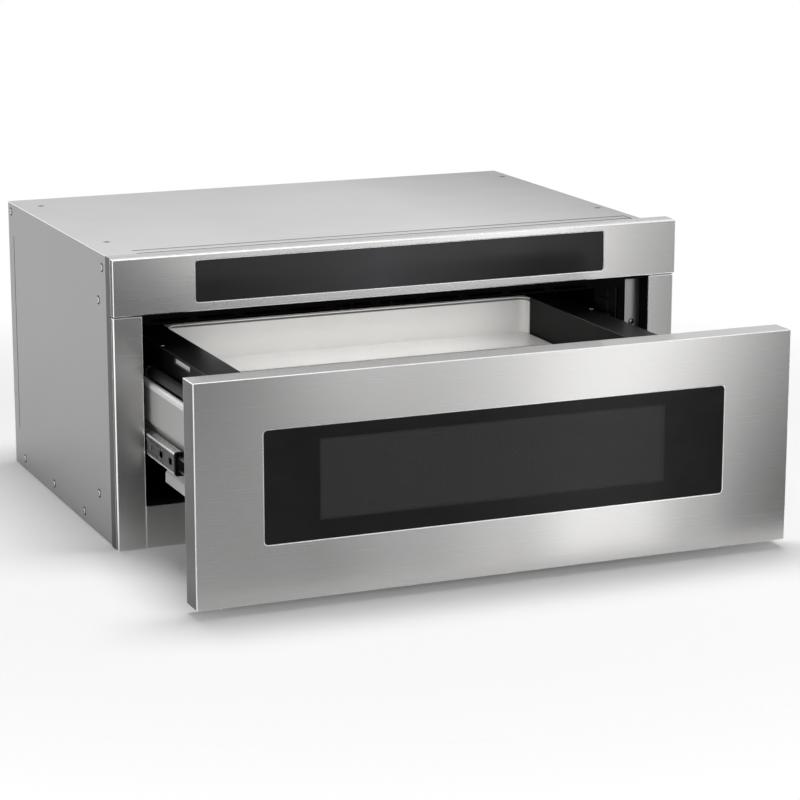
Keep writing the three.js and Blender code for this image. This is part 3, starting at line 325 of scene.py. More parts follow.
def display_glass(edge_level, middle, middle_x, half_width):
    """Smoked control glass, painted lighter towards its middle: a painted reflection."""
    material, nodes = new_finish("control_glass_finish", Specular_IOR_Level=0.11)
    smear = nodes.noise(GLASS_SMEAR, 3)
    x, _, _ = nodes.axes()
    away = nodes.math("ABSOLUTE", nodes.math("SUBTRACT", x, middle_x))
    # painted reflection: lighter towards the middle
    middle_sheen = nodes.between(away, 1, 0, 0, half_width)
    tone = nodes.weigh(smear, 0.1, middle_sheen, 0.9)
    nodes.coat(Base_Color=nodes.tint(tone, grey(edge_level), middle),
               Roughness=nodes.between(smear, 0.08, 0.14))
    return material


def window_glass(print_level, pane_level, x0, x1, z0, z1):
    """Black glass whose print fades out to a tinted pane inside the box x0, x1, z0, z1."""
    material, nodes = new_finish("window_glass_finish", Specular_IOR_Level=0.13)
    smear = nodes.noise(GLASS_SMEAR, 3)
    fade = 0.004  # the width of the print's soft edge
    x, _, z = nodes.axes()
    inside = nodes.between(x, 0, 1, x0, x0 + fade)
    for side in (nodes.between(x, 1, 0, x1 - fade, x1),
                 nodes.between(z, 0, 1, z0, z0 + fade),
                 nodes.between(z, 1, 0, z1 - fade, z1)):
        inside = nodes.math("MINIMUM", inside, side)
    tone = nodes.math("ADD", nodes.math("MULTIPLY", smear, 0.2), inside)
    nodes.coat(Base_Color=nodes.tint(tone, grey(print_level), grey(pane_level)),
               Roughness=nodes.between(smear, 0.08, 0.14),
               Alpha=nodes.between(inside, 1.0, 0.6))
    return material


def perforated(base, pitch):
    """Enamelled sheet with a close grid of round holes, painted as dots darker than the sheet:
    painted shade.
    """
    material, nodes = new_finish("window_screen_finish", Specular_IOR_Level=0.4)
    x, _, z = nodes.axes()
    squares = []
    for axis in (x, z):
        cell = nodes.math("FRACT", nodes.math("MULTIPLY", axis, 1 / pitch))
        squares.append(nodes.math("POWER", nodes.math("SUBTRACT", cell, 0.5), 2.0))
    # the holes are painted shade
    sheet = nodes.between(nodes.math("ADD", *squares), 0, 1, 0.07, 0.1)
    clouds = nodes.noise((9, 9, 9), 2)
    tone = nodes.math("MULTIPLY", sheet, nodes.between(clouds, 0.8, 1.0))
    nodes.coat(Base_Color=nodes.tint(tone, shade(base, 0.25), base),
               Roughness=nodes.between(sheet, 0.8, 0.45),
               Normal=nodes.bump(sheet, 0.0003))
    return material


def clear_glass():
    """Greenish tempered glass with a faint smear."""
    material, nodes = new_finish("clear_glass_finish", Specular_IOR_Level=0.5)
    smear = nodes.noise((20, 20, 20), 3)
    nodes.coat(Base_Color=nodes.tint(smear, (0.5, 0.54, 0.54), (0.56, 0.6, 0.6)),
               Roughness=nodes.between(smear, 0.03, 0.08),
               Alpha=nodes.between(smear, 0.2, 0.28))
    return material


def rail_steel(name, base, roughness):
    """Plated rolled steel: fine lines drawn along Y, and blotches in tone and gloss."""
    material, nodes = new_finish(name, Metallic=1.0, Anisotropic=0.4)
    drawn = nodes.noise(DRAWN_LINES, 4, 0.6)
    blotches = nodes.noise(BLOTCHES, 4)
    tone = nodes.weigh(drawn, 0.5, blotches, 0.5)
    nodes.coat(Base_Color=nodes.tint(tone, shade(base, 0.88), shade(base, 1.12)),
               Roughness=nodes.between(blotches, roughness - 0.08, roughness + 0.1),
               Normal=nodes.bump(drawn, DRAWN_LINES_DEPTH))
    return material


def moulded(name, base, roughness):
    """Moulded plastic or rubber with a fine spark-eroded grain."""
    material, nodes = new_finish(name, Specular_IOR_Level=0.4)
    grain = nodes.noise((900, 900, 900), 2)
    clouds = nodes.noise((25, 25, 25), 3)
    nodes.coat(Base_Color=nodes.tint(clouds, shade(base, 0.88), shade(base, 1.12)),
               Roughness=nodes.between(grain, roughness - 0.06, roughness + 0.06),
               Normal=nodes.bump(grain, 0.00006))
    return material


def circuit_board():
    """Green solder mask over copper tracks, drawn as a fine brick grid."""
    material, nodes = new_finish("circuit_board_finish")
    inputs = {"Vector": nodes.scaled((90, 90, 90)), "Scale": 1.0, "Mortar Size": 0.06,
              "Color1": (0, 0, 0, 1), "Color2": (0.3, 0.3, 0.3, 1), "Mortar": (1, 1, 1, 1)}
    tracks = nodes.add("ShaderNodeTexBrick", inputs).outputs[0]
    nodes.coat(Base_Color=nodes.tint(tracks, (0.012, 0.10, 0.045), (0.03, 0.17, 0.07)),
               Roughness=nodes.between(tracks, 0.45, 0.3),
               Normal=nodes.bump(tracks, 0.00005))
    return material


def winding():
    """Varnished copper wire laid in turns one above the other."""
    material, nodes = new_finish("winding_finish", Metallic=0.7)
    inputs = {"Vector": nodes.coordinates(), "Scale": 170.0, "Distortion": 0.4, "Detail": 2.0}
    turns = nodes.add("ShaderNodeTexWave", inputs, bands_direction="Z").outputs["Fac"]
    nodes.coat(Base_Color=nodes.tint(turns, (0.16, 0.055, 0.02), (0.46, 0.2, 0.08)),
               Roughness=nodes.between(turns, 0.5, 0.32),
               Normal=nodes.bump(turns, 0.0003))
    return material


def mica():
    """Pressed mica flakes."""
    material, nodes = new_finish("mica_finish", Specular_IOR_Level=0.5)
    inputs = {"Vector": nodes.scaled((240, 240, 240)), "Scale": 1.0}
    flakes = nodes.add("ShaderNodeTexVoronoi", inputs).outputs["Distance"]
    nodes.coat(Base_Color=nodes.tint(flakes, (0.40, 0.33, 0.23), (0.55, 0.47, 0.34)),
               Roughness=nodes.between(flakes, 0.35, 0.6))
    return material


STEEL = (0.53, 0.525, 0.52)
LIGHT_ENAMEL = grey(0.80, 0.014)
BRACKET_ENAMEL = grey(0.46, 0.008)


def slot_finishes():
    """The finish of each slot that has a node without one of its own."""
    return {
        "brushed_steel": brushed_steel("brushed_steel_finish", STEEL, side_shade=0.12),
        "galvanised_sheet": sheet_metal("galvanised_sheet_finish", grey(0.33), 0.42),
        "black_enamel": enamel("black_enamel_finish", grey(0.0025), 0.5, specular=0.03),
        # middle is the colour of the glass's painted reflection
        "black_glass": display_glass(edge_level=0.03, middle=(0.098, 0.096, 0.102),
                                     middle_x=-0.03, half_width=0.22),
        "clear_glass": clear_glass(),
        "zinc_steel": rail_steel("zinc_steel_finish", grey(0.26), 0.28),
        "dark_rail_steel": rail_steel("dark_rail_steel_finish", grey(0.16), 0.36),
        "rubber": moulded("rubber_finish", grey(0.008), 0.5),
        "circuit_board": circuit_board(),
        "mica_sheet": mica(),
        "copper": winding(),
        "nylon": moulded("nylon_finish", grey(0.62, 0.03), 0.45),
        "motor_paint": enamel("motor_paint_finish", grey(0.06), 0.4),
        "black_plastic": moulded("black_plastic_finish", grey(0.012), 0.5),
    }


def node_finishes():
    """Finishes of the nodes that differ from the rest of their slot."""
    pane_low, pane_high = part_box("window_screen")
    _, tub_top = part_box("drawer_tub")
    _, frame_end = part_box("front_frame")
    cover_start, cover_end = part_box("top_cover")
    _, bracket_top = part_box("left_rail_bracket")
    rail_start, rail_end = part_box("left_middle_rail")
    flange = 0.03  # from the back of the tub's flange to its back wall
    trim = brushed_steel("trim_steel_finish", shade(STEEL, 1.18), side_shade=0.02)
    panel = brushed_steel("panel_steel_finish", shade(STEEL, 1.25), side_shade=0.02)
    wall = enamel("wall_enamel_finish", grey(0.005), 0.35, specular=0.07)
    rail = lipped_rail(grey(0.075), rail_start.z, rail_end.z)
    bracket = bracket_enamel(BRACKET_ENAMEL, bracket_top.z)
    bumper = enamel("bumper_finish", grey(0.003), 0.6, specular=0.05)
    return {
        "front_frame": frame_sheet(inner=0.5, outer=0.045, edge_x=frame_end.x),
        "drawer_tub": tub_enamel(LIGHT_ENAMEL, tub_top.z, tub_top.y - flange),
        "left_side_wall": wall,
        "right_side_wall": wall,
        "window_glass": window_glass(print_level=0.009, pane_level=0.055,
                                     x0=pane_low.x, x1=pane_high.x,
                                     z0=pane_low.z, z1=pane_high.z),
        "window_screen": perforated(grey(0.05), pitch=0.003),
        "control_panel_trim": panel,
        "top_cover": cover_sheet(light=0.67, dark=0.31, x0=0.1, x1=cover_end.x,
                                 y0=cover_start.y, y1=cover_end.y),
        "left_rail_bracket": bracket,
        "right_rail_bracket": bracket,
        "left_middle_rail": rail,
        "right_middle_rail": rail,
        "left_rail_bumper": bumper,
        "right_rail_bumper": bumper,
        "bottom_trim_strip": trim,
        "left_pillar_trim": trim,
        "right_pillar_trim": trim,
    }


# ------------------------------------------------------------------ edges of the CAD nodes
SMOOTH_ANGLE = math.radians(32)  # folds sharper than this stay sharp
BEVEL_ANGLE = math.radians(40)  # folds sharper than this are rounded
FLAT_ANGLE = math.radians(0.5)  # facets that turn less than this lie in one plane
WELD_DISTANCE = 0.00001
BEVEL_SEGMENTS = 3


def smoothing_group():
    """Geometry nodes that drop the imported normals and shade smooth up to SMOOTH_ANGLE."""
    tree = bpy.data.node_groups.new("smooth_by_angle", "GeometryNodeTree")
    for direction in ("INPUT", "OUTPUT"):
        tree.interface.new_socket("Geometry", in_out=direction,
                                  socket_type="NodeSocketGeometry")
    nodes = Nodes(tree)
    start = nodes.add("NodeGroupInput").outputs[0]
    bare = nodes.add("GeometryNodeRemoveAttribute", {"Geometry": start, "Name": "custom_normal"})
    faces = nodes.add("GeometryNodeSetShadeSmooth",
                      {"Geometry": bare.outputs[0], "Shade Smooth": True})
    angle = nodes.add("GeometryNodeInputMeshEdgeAngle").outputs[0]
    sharp = nodes.add("FunctionNodeCompare", {"A": angle, "B": SMOOTH_ANGLE},
                      operation="GREATER_THAN").outputs[0]
    inputs = {"Geometry": faces.outputs[0], "Selection": sharp, "Shade Smooth": False}
    edges = nodes.add("GeometryNodeSetShadeSmooth", inputs, domain="EDGE")
    nodes.feed(nodes.add("NodeGroupOutput").inputs[0], edges.outputs[0])
    return tree


def soften(piece, group, radius, edge_slot, clamp):
    """Welds the facets, joins those that lie in one plane, rounds the edges and shades the rest.
    With clamp, the rounding gives way where edges lie close together."""
    weld = piece.modifiers.new("weld", "WELD")
    weld.merge_threshold = WELD_DISTANCE
    flat = piece.modifiers.new("flat", "DECIMATE")
    flat.decimate_type = "DISSOLVE"
    flat.angle_limit = FLAT_ANGLE
    if radius:
        bevel = piece.modifiers.new("bevel", "BEVEL")
        bevel.width = radius
        bevel.segments = BEVEL_SEGMENTS
        bevel.limit_method = "ANGLE"
        bevel.angle_limit = BEVEL_ANGLE
        bevel.use_clamp_overlap = clamp
        bevel.material = edge_slot
    smooth = piece.modifiers.new("smooth", "NODES")
    smooth.node_group = group
    weighted = piece.modifiers.new("weighted", "WEIGHTED_NORMAL")
    weighted.keep_sharp = True


FREE_BEVELS = ("drawer_front_skin", "control_panel_trim", "left_pillar_trim",
               "right_pillar_trim")
# Nodes whose rounded edges take the bright edge metal: a painted highlight.
BRIGHT_EDGES = FREE_BEVELS + ("bottom_trim_strip",)
# Nodes whose rounded edges take a lighter grey than their black faces: a painted highlight.
SHEEN_EDGES = ("left_side_wall", "right_side_wall")
EDGE_RADIUS = {
    "drawer_front_skin": 0.0012,
    "control_panel_trim": 0.0011,
    "left_pillar_trim": 0.0011,
    "right_pillar_trim": 0.0011,
    "bottom_trim_strip": 0.0008,
    "top_cover": 0.0003,
    "left_side_panel": 0.0004,
    "right_side_panel": 0.0004,
    "control_glass": 0.0004,
    "window_glass": 0.0004,
    "drawer_tub": 0.0005,
    "front_bezel": 0.0005,
    "left_side_wall": 0.0012,
    "right_side_wall": 0.0012,
    "left_rail_bracket": 0.0004,
    "right_rail_bracket": 0.0004,
    "left_middle_rail": 0.0005,
    "right_middle_rail": 0.0005,
    "left_rail_bumper": 0.0004,
    "right_rail_bumper": 0.0004,
    "drawer_seal": 0.0008,
    "cord_gland": 0.0006,
}


def finish_nodes():
    """Gives each CAD node its finish and its edges, and returns the finishes by name."""
    finishes = slot_finishes()
    special = node_finishes()
    # the bright metal of rounded edges: a painted highlight
    bright = edge_highlight()
    # the lighter grey of the black walls' rounded edges: a painted highlight
    edge_sheen = enamel("edge_sheen_finish", grey(0.06), 0.3)
    group = smoothing_group()
    for entry in frame["record"]["subparts"]:
        name = entry["node"]
        node = frame["nodes"][name]
        finish = special.get(name) or finishes[entry["material_slot"]]
        for slot in node.material_slots:
            slot.material = finish
        edge_slot = -1  # the same finish as the faces beside the edge
        if name in BRIGHT_EDGES + SHEEN_EDGES:
            node.data.materials.append(bright if name in BRIGHT_EDGES else edge_sheen)
            edge_slot = len(node.data.materials) - 1
        soften(node, group, EDGE_RADIUS.get(name, 0.0), edge_slot, name not in FREE_BEVELS)
    finishes["light_enamel"] = enamel("light_enamel_finish", LIGHT_ENAMEL, 0.2)
    finishes["screw"] = rail_steel("screw_finish", grey(0.55), 0.25)
    # dark grey for the dimples' slopes: painted shade
    finishes["dimple"] = rail_steel("dimple_shade_finish", grey(0.05), 0.4)
    finishes["edge"] = bright
    return finishes


# ------------------------------------------------------------------ small pieces
SIDES = (("left", -1), ("right", 1))  # with the way out along X


def outer_face(box, out):
    """Where a box ends on the side that out points to."""
    return box[0].x if out < 0 else box[1].x


def add_piece(name, mesh, body, finishes):
    """Turns a bmesh into a piece with smooth curves and sharp folds, and seats it on a body."""
    bmesh.ops.recalc_face_normals(mesh, faces=mesh.faces)
    data = bpy.data.meshes.new(name)
    mesh.to_mesh(data)
    mesh.free()
    for finish in finishes:
        data.materials.append(finish)
    data.shade_smooth()
    data.set_sharp_from_angle(angle=SMOOTH_ANGLE)
    piece = bpy.data.objects.new(name, data)
    bpy.context.scene.collection.objects.link(piece)
    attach(piece, body)


def skin(mesh, lower, upper, material=0):
    """Faces between two closed loops of as many vertices."""
    for i in range(len(lower)):
        j = (i + 1) % len(lower)
        mesh.faces.new((lower[i], lower[j], upper[j], upper[i])).material_index = material


def circle(radius, sides):
    angles = [2 * math.pi * i / sides for i in range(sides)]
    return [(radius * math.cos(a), radius * math.sin(a)) for a in angles]


def cross_outline(arm, half):
    """The twelve corners of a cross, anticlockwise."""
    quarter = [(arm, -half), (arm, half), (half, half)]
    corners = []
    for c, s in ((1, 0), (0, 1), (-1, 0), (0, -1)):
        corners += [(c * x - s * y, s * x + c * y) for x, y in quarter]
    return corners


# Rings of a screw head from its foot to its top: radius and height, as shares of the
# head's own. The foot is a wide low skirt in black: a painted shadow round the head. Its recess
# is a cross that narrows towards its floor, black inside: painted shade.
HEAD_PROFILE = [(1.45, 0.0), (1.45, 0.08), (1.0, 0.1), (1.0, 0.35), (0.94, 0.65), (0.8, 0.88),
                (0.66, 1.0)]
FOOT_RINGS = 2
HEAD_SIDES = 24
RECESS_MOUTH = (0.5, 0.14)
RECESS_FLOOR = (0.36, 0.08)
RECESS_FLOOR_HEIGHT = 0.3
SHADE_SLOT = 1  # a screw's second material, black: painted shadow on its foot and painted shade in its recess
SCREW_TURN = 0.7  # radians from one screw's recess to the next


def add_screw(mesh, place, normal, radius, height, spin):
    """A low rounded head with a cross recess, standing on place and facing along normal."""
    turn = Vector((0, 0, 1)).rotation_difference(Vector(normal)).to_matrix().to_4x4()
    seat = Matrix.Translation(place) @ turn @ Matrix.Rotation(spin, 4, "Z")

    def ring(points, z):
        return [mesh.verts.new(seat @ Vector((x * radius, y * radius, z))) for x, y in points]

    rings = [ring(circle(r, HEAD_SIDES), z * height) for r, z in HEAD_PROFILE]
    for index, (lower, upper) in enumerate(zip(rings, rings[1:])):
        skin(mesh, lower, upper, SHADE_SLOT if index < FOOT_RINGS else 0)
    mesh.faces.new(rings[0])
    mouth = ring(cross_outline(*RECESS_MOUTH), height)
    floor = ring(cross_outline(*RECESS_FLOOR), RECESS_FLOOR_HEIGHT * height)
    skin(mesh, floor, mouth, SHADE_SLOT)
    mesh.faces.new(floor).material_index = SHADE_SLOT
    rim = []
    for loop in (rings[-1], mouth):
        for i in range(len(loop)):
            pair = (loop[i], loop[(i + 1) % len(loop)])
            rim.append(mesh.edges.get(pair) or mesh.edges.new(pair))
    bmesh.ops.triangle_fill(mesh, use_beauty=True, edges=rim)


def add_screws(name, body, finishes, spots, size, head="screw"):
    """One piece that holds the screws at spots, a list of (place, normal). Size is the radius
    and the height of a head."""
    mesh = bmesh.new()
    for index, (place, normal) in enumerate(spots):
        add_screw(mesh, Vector(place), normal, *size, SCREW_TURN * index)
    # the black enamel paints the shadow round each foot and the shade in each recess
    add_piece(name, mesh, body, [finishes[head], finishes["black_enamel"]])


# Screws of a side panel: distance from its front edge, and height.
PANEL_SCREWS = [(0.4394, 0.350), (0.0184, 0.345), (0.0364, 0.302), (0.4054, 0.015),
                (0.2614, 0.015), (0.0534, 0.054), (0.1214, 0.0135)]
PANEL_SCREW_SIZE = (0.0039, 0.0011)  # radius and height, as in the other sizes below
# Screws of the rear panel: in from its ends, from column to column, and up from and down to
# its edges.
REAR_SCREW_INSET = 0.012
REAR_SCREW_STEP = 0.2315
REAR_SCREW_LOW = 0.012
REAR_SCREW_HIGH = 0.011
# Dimples of the top cover: in from its front, back, left and right edges, and down to the foot
# of their screws.
DIMPLE_FRONT, DIMPLE_BACK = 0.096, 0.057
DIMPLE_LEFT, DIMPLE_RIGHT = 0.030, 0.013
DIMPLE_DEPTH = 0.0008
DIMPLE_SCREW_SIZE = (0.0027, 0.0007)
# Screws of the right jamb, inside the opening: place across, heights, and in from its back.
JAMB_X = 0.3322
JAMB_HEIGHTS = (0.226, 0.09)
JAMB_INSET = 0.002
JAMB_SCREW_SIZE = (0.0028, 0.0009)


def dimple_places():
    """The middle of each dimple, across and back, from the front pair to the back pair."""
    low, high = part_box("top_cover")
    return [(x, y) for y in (low.y + DIMPLE_FRONT, high.y - DIMPLE_BACK)
            for x in (low.x + DIMPLE_LEFT, high.x - DIMPLE_RIGHT)]


def add_body_screws(finishes):
    """The screws of the two side panels, the rear panel, the top cover and the right jamb."""
    for side, out in SIDES:
        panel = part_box(f"{side}_side_panel")
        face = outer_face(panel, out)
        spots = [((face, panel[0].y + y, z), (out, 0, 0)) for y, z in PANEL_SCREWS]
        add_screws(f"{side}_wall_screws", "chassis", finishes, spots, PANEL_SCREW_SIZE)
    low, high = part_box("rear_panel")
    columns = [low.x + (REAR_SCREW_INSET + i * REAR_SCREW_STEP) for i in range(3)]
    columns.append(high.x - REAR_SCREW_INSET)
    spots = [((x, high.y, z), (0, 1, 0)) for x in columns
             for z in (REAR_SCREW_LOW, high.z - REAR_SCREW_HIGH)]
    add_screws("rear_screws", "chassis", finishes, spots, PANEL_SCREW_SIZE)
    _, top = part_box("top_cover")
    spots = [((x, y, top.z - DIMPLE_DEPTH), (0, 0, 1)) for x, y in dimple_places()]
    add_screws("top_screws", "chassis", finishes, spots, DIMPLE_SCREW_SIZE, "dark_rail_steel")
    _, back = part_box("front_frame")
    spots = [((JAMB_X, back.y - JAMB_INSET, z), (0, -1, 0)) for z in JAMB_HEIGHTS]
    add_screws("jamb_screws", "chassis", finishes, spots, JAMB_SCREW_SIZE)


# The slope of a dimple from its edge to its floor: radius, and depth under the cover.
DIMPLE_SLOPE = [(0.00598, 0.00001), (0.0045, 0.00038), (0.0032, 0.00073)]
DIMPLE_THICKNESS = 0.0002
DIMPLE_SIDES = 48


def add_dimple_shade(finish):
    """The slopes of the dimples in the top cover, in dark grey: painted shade."""
    _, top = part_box("top_cover")
    under = [(r, depth + DIMPLE_THICKNESS) for r, depth in reversed(DIMPLE_SLOPE)]
    mesh = bmesh.new()
    for x, y in dimple_places():
        rings = [[mesh.verts.new((x + px, y + py, top.z - depth))
                  for px, py in circle(r, DIMPLE_SIDES)] for r, depth in DIMPLE_SLOPE + under]
        for near, far in zip(rings, rings[1:] + rings[:1]):
            skin(mesh, near, far)
    add_piece("top_dimple_shade", mesh, "chassis", [finish])


# The gauze behind the vents: in from the panel's right end, half its height, and how far its
# pleats lie in from the outside of the panel.
GAUZE_X = (0.206, 0.092)
GAUZE_HALF_HEIGHT = 0.048
GAUZE_PLEATS = 76
GAUZE_INSETS = (0.0022, 0.0016)
GAUZE_THICKNESS = 0.0003
VENT_HEIGHT_SHARE = 0.55  # the middle of the vents, as a share of the body's height
PANEL_TO_BODY_TOP = 0.0016  # from the top of the rear panel to that of the body


def add_vent_gauze(finish):
    """Pleated black gauze inside the blower's vents in the rear panel; it also stands in for the
    shade inside them.
    """
    _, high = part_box("rear_panel")
    x0, x1 = (high.x - inset for inset in GAUZE_X)
    middle = VENT_HEIGHT_SHARE * (high.z + PANEL_TO_BODY_TOP)
    back = [(x0 + (x1 - x0) * i / GAUZE_PLEATS, high.y - GAUZE_INSETS[i % 2])
            for i in range(GAUZE_PLEATS + 1)]
    outline = back + [(x, y - GAUZE_THICKNESS) for x, y in reversed(back)]
    mesh = bmesh.new()
    ends = [[mesh.verts.new((x, y, z)) for x, y in outline]
            for z in (middle - GAUZE_HALF_HEIGHT, middle + GAUZE_HALF_HEIGHT)]
    skin(mesh, *ends)
    for end in ends:
        for i in range(GAUZE_PLEATS):
            mesh.faces.new((end[i], end[i + 1], end[-2 - i], end[-1 - i]))
    add_piece("vent_gauze", mesh, "chassis", [finish])


# The screw on top of a side wall: in from its outer face and back from its front.
WALL_SCREW_PLACE = (0.004, 0.2875)
WALL_SCREW_SIZE = (0.003, 0.001)
# The clip behind a side wall's slot: in from the outer face, back from the front, and down from
# the top, each as its two limits, and its cut corners.
CLIP_X = (0.0032, 0.0022)
CLIP_Y = (0.168, 0.231)
CLIP_Z = (0.0135, 0.0018)
CLIP_CUT = 0.004
# The cap on a round bar: rings of radius and place along the bar from its back end, and how far
# its middle lies under the bar's top.
CAP_PROFILE = [(0.0052, -0.007), (0.0074, -0.007), (0.0078, -0.0066), (0.0078, -0.001),
               (0.0072, 0.0004), (0.0058, 0.001), (0.0045, 0.0002)]
CAP_SIDES = 32
ROD_RADIUS = 0.007


def add_wall_clip(finish, side, wall, out):
    low, high = wall
    face = outer_face(wall, out)
    x0, x1 = (face - out * inset for inset in CLIP_X)
    y0, y1 = (low.y + back for back in CLIP_Y)
    z0, z1 = (high.z - drop for drop in CLIP_Z)
    corners = [(y0, z0), (y1, z0), (y1, z1), (y0 + CLIP_CUT, z1), (y0, z1 - CLIP_CUT)]
    mesh = bmesh.new()
    ends = [[mesh.verts.new((x, y, z)) for y, z in corners] for x in (x0, x1)]
    skin(mesh, *ends)
    for end in ends:
        mesh.faces.new(end)
    add_piece(f"{side}_wall_clip", mesh, "drawer", [finish])


def add_rod_cap(finish, side):
    low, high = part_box(f"{side}_buffer_rod")
    centre = Vector(((low.x + high.x) / 2, high.y, high.z - ROD_RADIUS))
    mesh = bmesh.new()
    rings = [[mesh.verts.new((centre.x + x, centre.y + y, centre.z + z))
              for x, z in circle(r, CAP_SIDES)] for r, y in CAP_PROFILE]
    for near, far in zip(rings, rings[1:]):
        skin(mesh, near, far)
    for end in (rings[0], rings[-1]):
        mesh.faces.new(end)
    add_piece(f"{side}_rod_cap", mesh, "drawer", [finish])


def add_wall_fittings(finishes):
    """A screw on top of each side wall, a white clip behind its slot, and its round bar's cap. The
    clip's white stands in for the light seen in the slot: painted light.
    """
    inset, back = WALL_SCREW_PLACE
    for side, out in SIDES:
        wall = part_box(f"{side}_side_wall")
        place = (outer_face(wall, out) - out * inset, wall[0].y + back, wall[1].z)
        add_screws(f"{side}_wall_top_screw", "drawer", finishes, [(place, (0, 0, 1))],
                   WALL_SCREW_SIZE)
        # the clip's white enamel is painted light in the slot
        add_wall_clip(finishes["light_enamel"], side, wall, out)
        add_rod_cap(finishes["zinc_steel"], side)


HEM_RADIUS = 0.0006
HEM_STEPS = 8
HEM_INSET = 0.0003  # from the cover's front and back edges


def add_top_hem(finish):
    """The folded edges of the top cover: a rounded bead along its left and right ends, in the
    bright edge metal: a painted highlight.
    """
    low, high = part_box("top_cover")
    angles = [math.pi * i / HEM_STEPS for i in range(HEM_STEPS + 1)]
    for side, out in SIDES:
        x = outer_face((low, high), out)
        mesh = bmesh.new()
        arc = [(x + out * HEM_RADIUS * math.sin(a),
                high.z - HEM_RADIUS + HEM_RADIUS * math.cos(a)) for a in angles]
        ends = [[mesh.verts.new((px, y, pz)) for px, pz in arc]
                for y in (low.y + HEM_INSET, high.y - HEM_INSET)]
        skin(mesh, *ends)
        for end in ends:
            mesh.faces.new(end)
        add_piece(f"{side}_top_hem", mesh, "chassis", [finish])


# ------------------------------------------------------------------ stage
FLOOR_Z = -0.0002  # just clear of the base, which stands at 0
FLOOR_SIZE = 14  # from its middle to its edges
FLOOR_WHITE = 0.92
FLOOR_GRAIN = 0.004
FLOOR_LIFT = 0.06  # what the floor adds for the rays that see it, up to white
FADE = (0.62, 1.2)  # the floor gives way to the white world between these distances
AMBIENT = 0.2


def seen_ray(nodes):
    """1 for camera, glossy and transmission rays, and 0 for the rest."""
    path = nodes.add("ShaderNodeLightPath").outputs
    seen = nodes.math("MAXIMUM", path["Is Camera Ray"], path["Is Glossy Ray"])
    return nodes.math("MAXIMUM", seen, path["Is Transmission Ray"])


def add_floor():
    """A plain white floor that keeps the soft shadow and fades into the white world."""
    corners = ((-1, -1), (1, -1), (1, 1), (-1, 1))
    mesh = bpy.data.meshes.new("floor")
    mesh.from_pydata([(x * FLOOR_SIZE, y * FLOOR_SIZE, FLOOR_Z) for x, y in corners], [],
                     [(0, 1, 2, 3)])
    floor = bpy.data.objects.new("floor", mesh)
    bpy.context.scene.collection.objects.link(floor)
    material, nodes = new_finish("floor_paint", Roughness=0.9, Specular_IOR_Level=0.0,
                                 Emission_Color=(1, 1, 1, 1))
    grain = nodes.noise((3, 3, 3), 2)
    seen = seen_ray(nodes)
    nodes.coat(Base_Color=nodes.tint(grain, grey(FLOOR_WHITE - FLOOR_GRAIN),
                                     grey(FLOOR_WHITE + FLOOR_GRAIN)),
               Emission_Strength=nodes.between(seen, 0, FLOOR_LIFT))
    distance = nodes.add("ShaderNodeVectorMath", {0: nodes.coordinates()}, operation="LENGTH")
    far = nodes.math("MULTIPLY", nodes.between(distance.outputs[1], 0, 1, *FADE), seen)
    clear = nodes.add("ShaderNodeBsdfTransparent").outputs[0]
    mix = nodes.add("ShaderNodeMixShader", {0: far, 1: nodes.shader.outputs[0], 2: clear})
    nodes.feed(nodes.tree.nodes["Material Output"].inputs[0], mix.outputs[0])
    mesh.materials.append(material)


def add_world():
    world = bpy.data.worlds.new("studio")
    world.use_nodes = True
    bpy.context.scene.world = world
    nodes = Nodes(world.node_tree)
    background = world.node_tree.nodes["Background"]
    background.inputs["Color"].default_value = (1, 1, 1, 1)
    nodes.feed(background.inputs["Strength"], nodes.between(seen_ray(nodes), AMBIENT, 1.0))


# The reflector runs along the floor in front of the object and up at its far end, through these
# places (y, z). Its tones fan out from FAN (x, y), so that they meet the drawer front in upright
# bands from its left to its right end.
REFLECTOR_PATH = [(-0.60, 0.004), (-1.7, 0.004), (-2.0, 0.05), (-2.2, 0.25), (-2.2, 1.6)]
REFLECTOR_X = (-0.7, 2.6)
FAN = (-1.3057, 2.25)
FRONT_Y = -0.54  # the plane of the drawer front
FRONT_HALF = 0.38  # half its width
# Tones along the front, from 0 at its left end to 1 at its right: near the object, farther out on
# the floor, and on the upright card at the end. The floor's change over between these depths, and
# the card takes over between these heights.
NEAR_TONES = [(0.0, 0.45), (0.12, 0.36), (0.2, 0.27), (0.36, 0.44), (0.52, 0.78), (0.64, 1.45),
              (0.72, 1.35), (0.84, 0.5), (0.93, 0.1), (1.0, 0.0)]
FAR_TONES = [(0.0, 0.0), (0.09, 0.1), (0.15, 0.9), (0.22, 1.6), (0.3, 0.9), (0.4, 0.35),
             (0.49, 0.55), (0.58, 1.1), (0.67, 1.7), (0.76, 3.0), (0.85, 2.3), (0.95, 1.1),
             (1.0, 0.4)]
CARD_TONES = [(0.0, 0.05), (0.1, 0.15), (0.25, 0.5), (0.62, 0.5), (0.75, 1.0), (0.85, 0.9),
              (0.95, 0.45), (1.0, 0.3)]
NEAR_TO_FAR = (-1.45, -1.7)
FAR_TO_CARD = (0.04, 0.3)


def tone_ramp(nodes, place, tones):
    """The tone at place, between the tones given at places from 0 to 1."""
    ramp = nodes.add("ShaderNodeValToRGB", {"Fac": place})
    ramp.color_ramp.interpolation = "EASE"
    stops = ramp.color_ramp.elements
    while len(stops) < len(tones):
        stops.new(0.5)
    brightest = max(tone for _, tone in tones)
    for index, (at, tone) in enumerate(tones):
        stops[index].position = at
        stops[index].color = (*grey(tone / brightest), 1)
    return nodes.math("MULTIPLY", ramp.outputs[0], brightest)


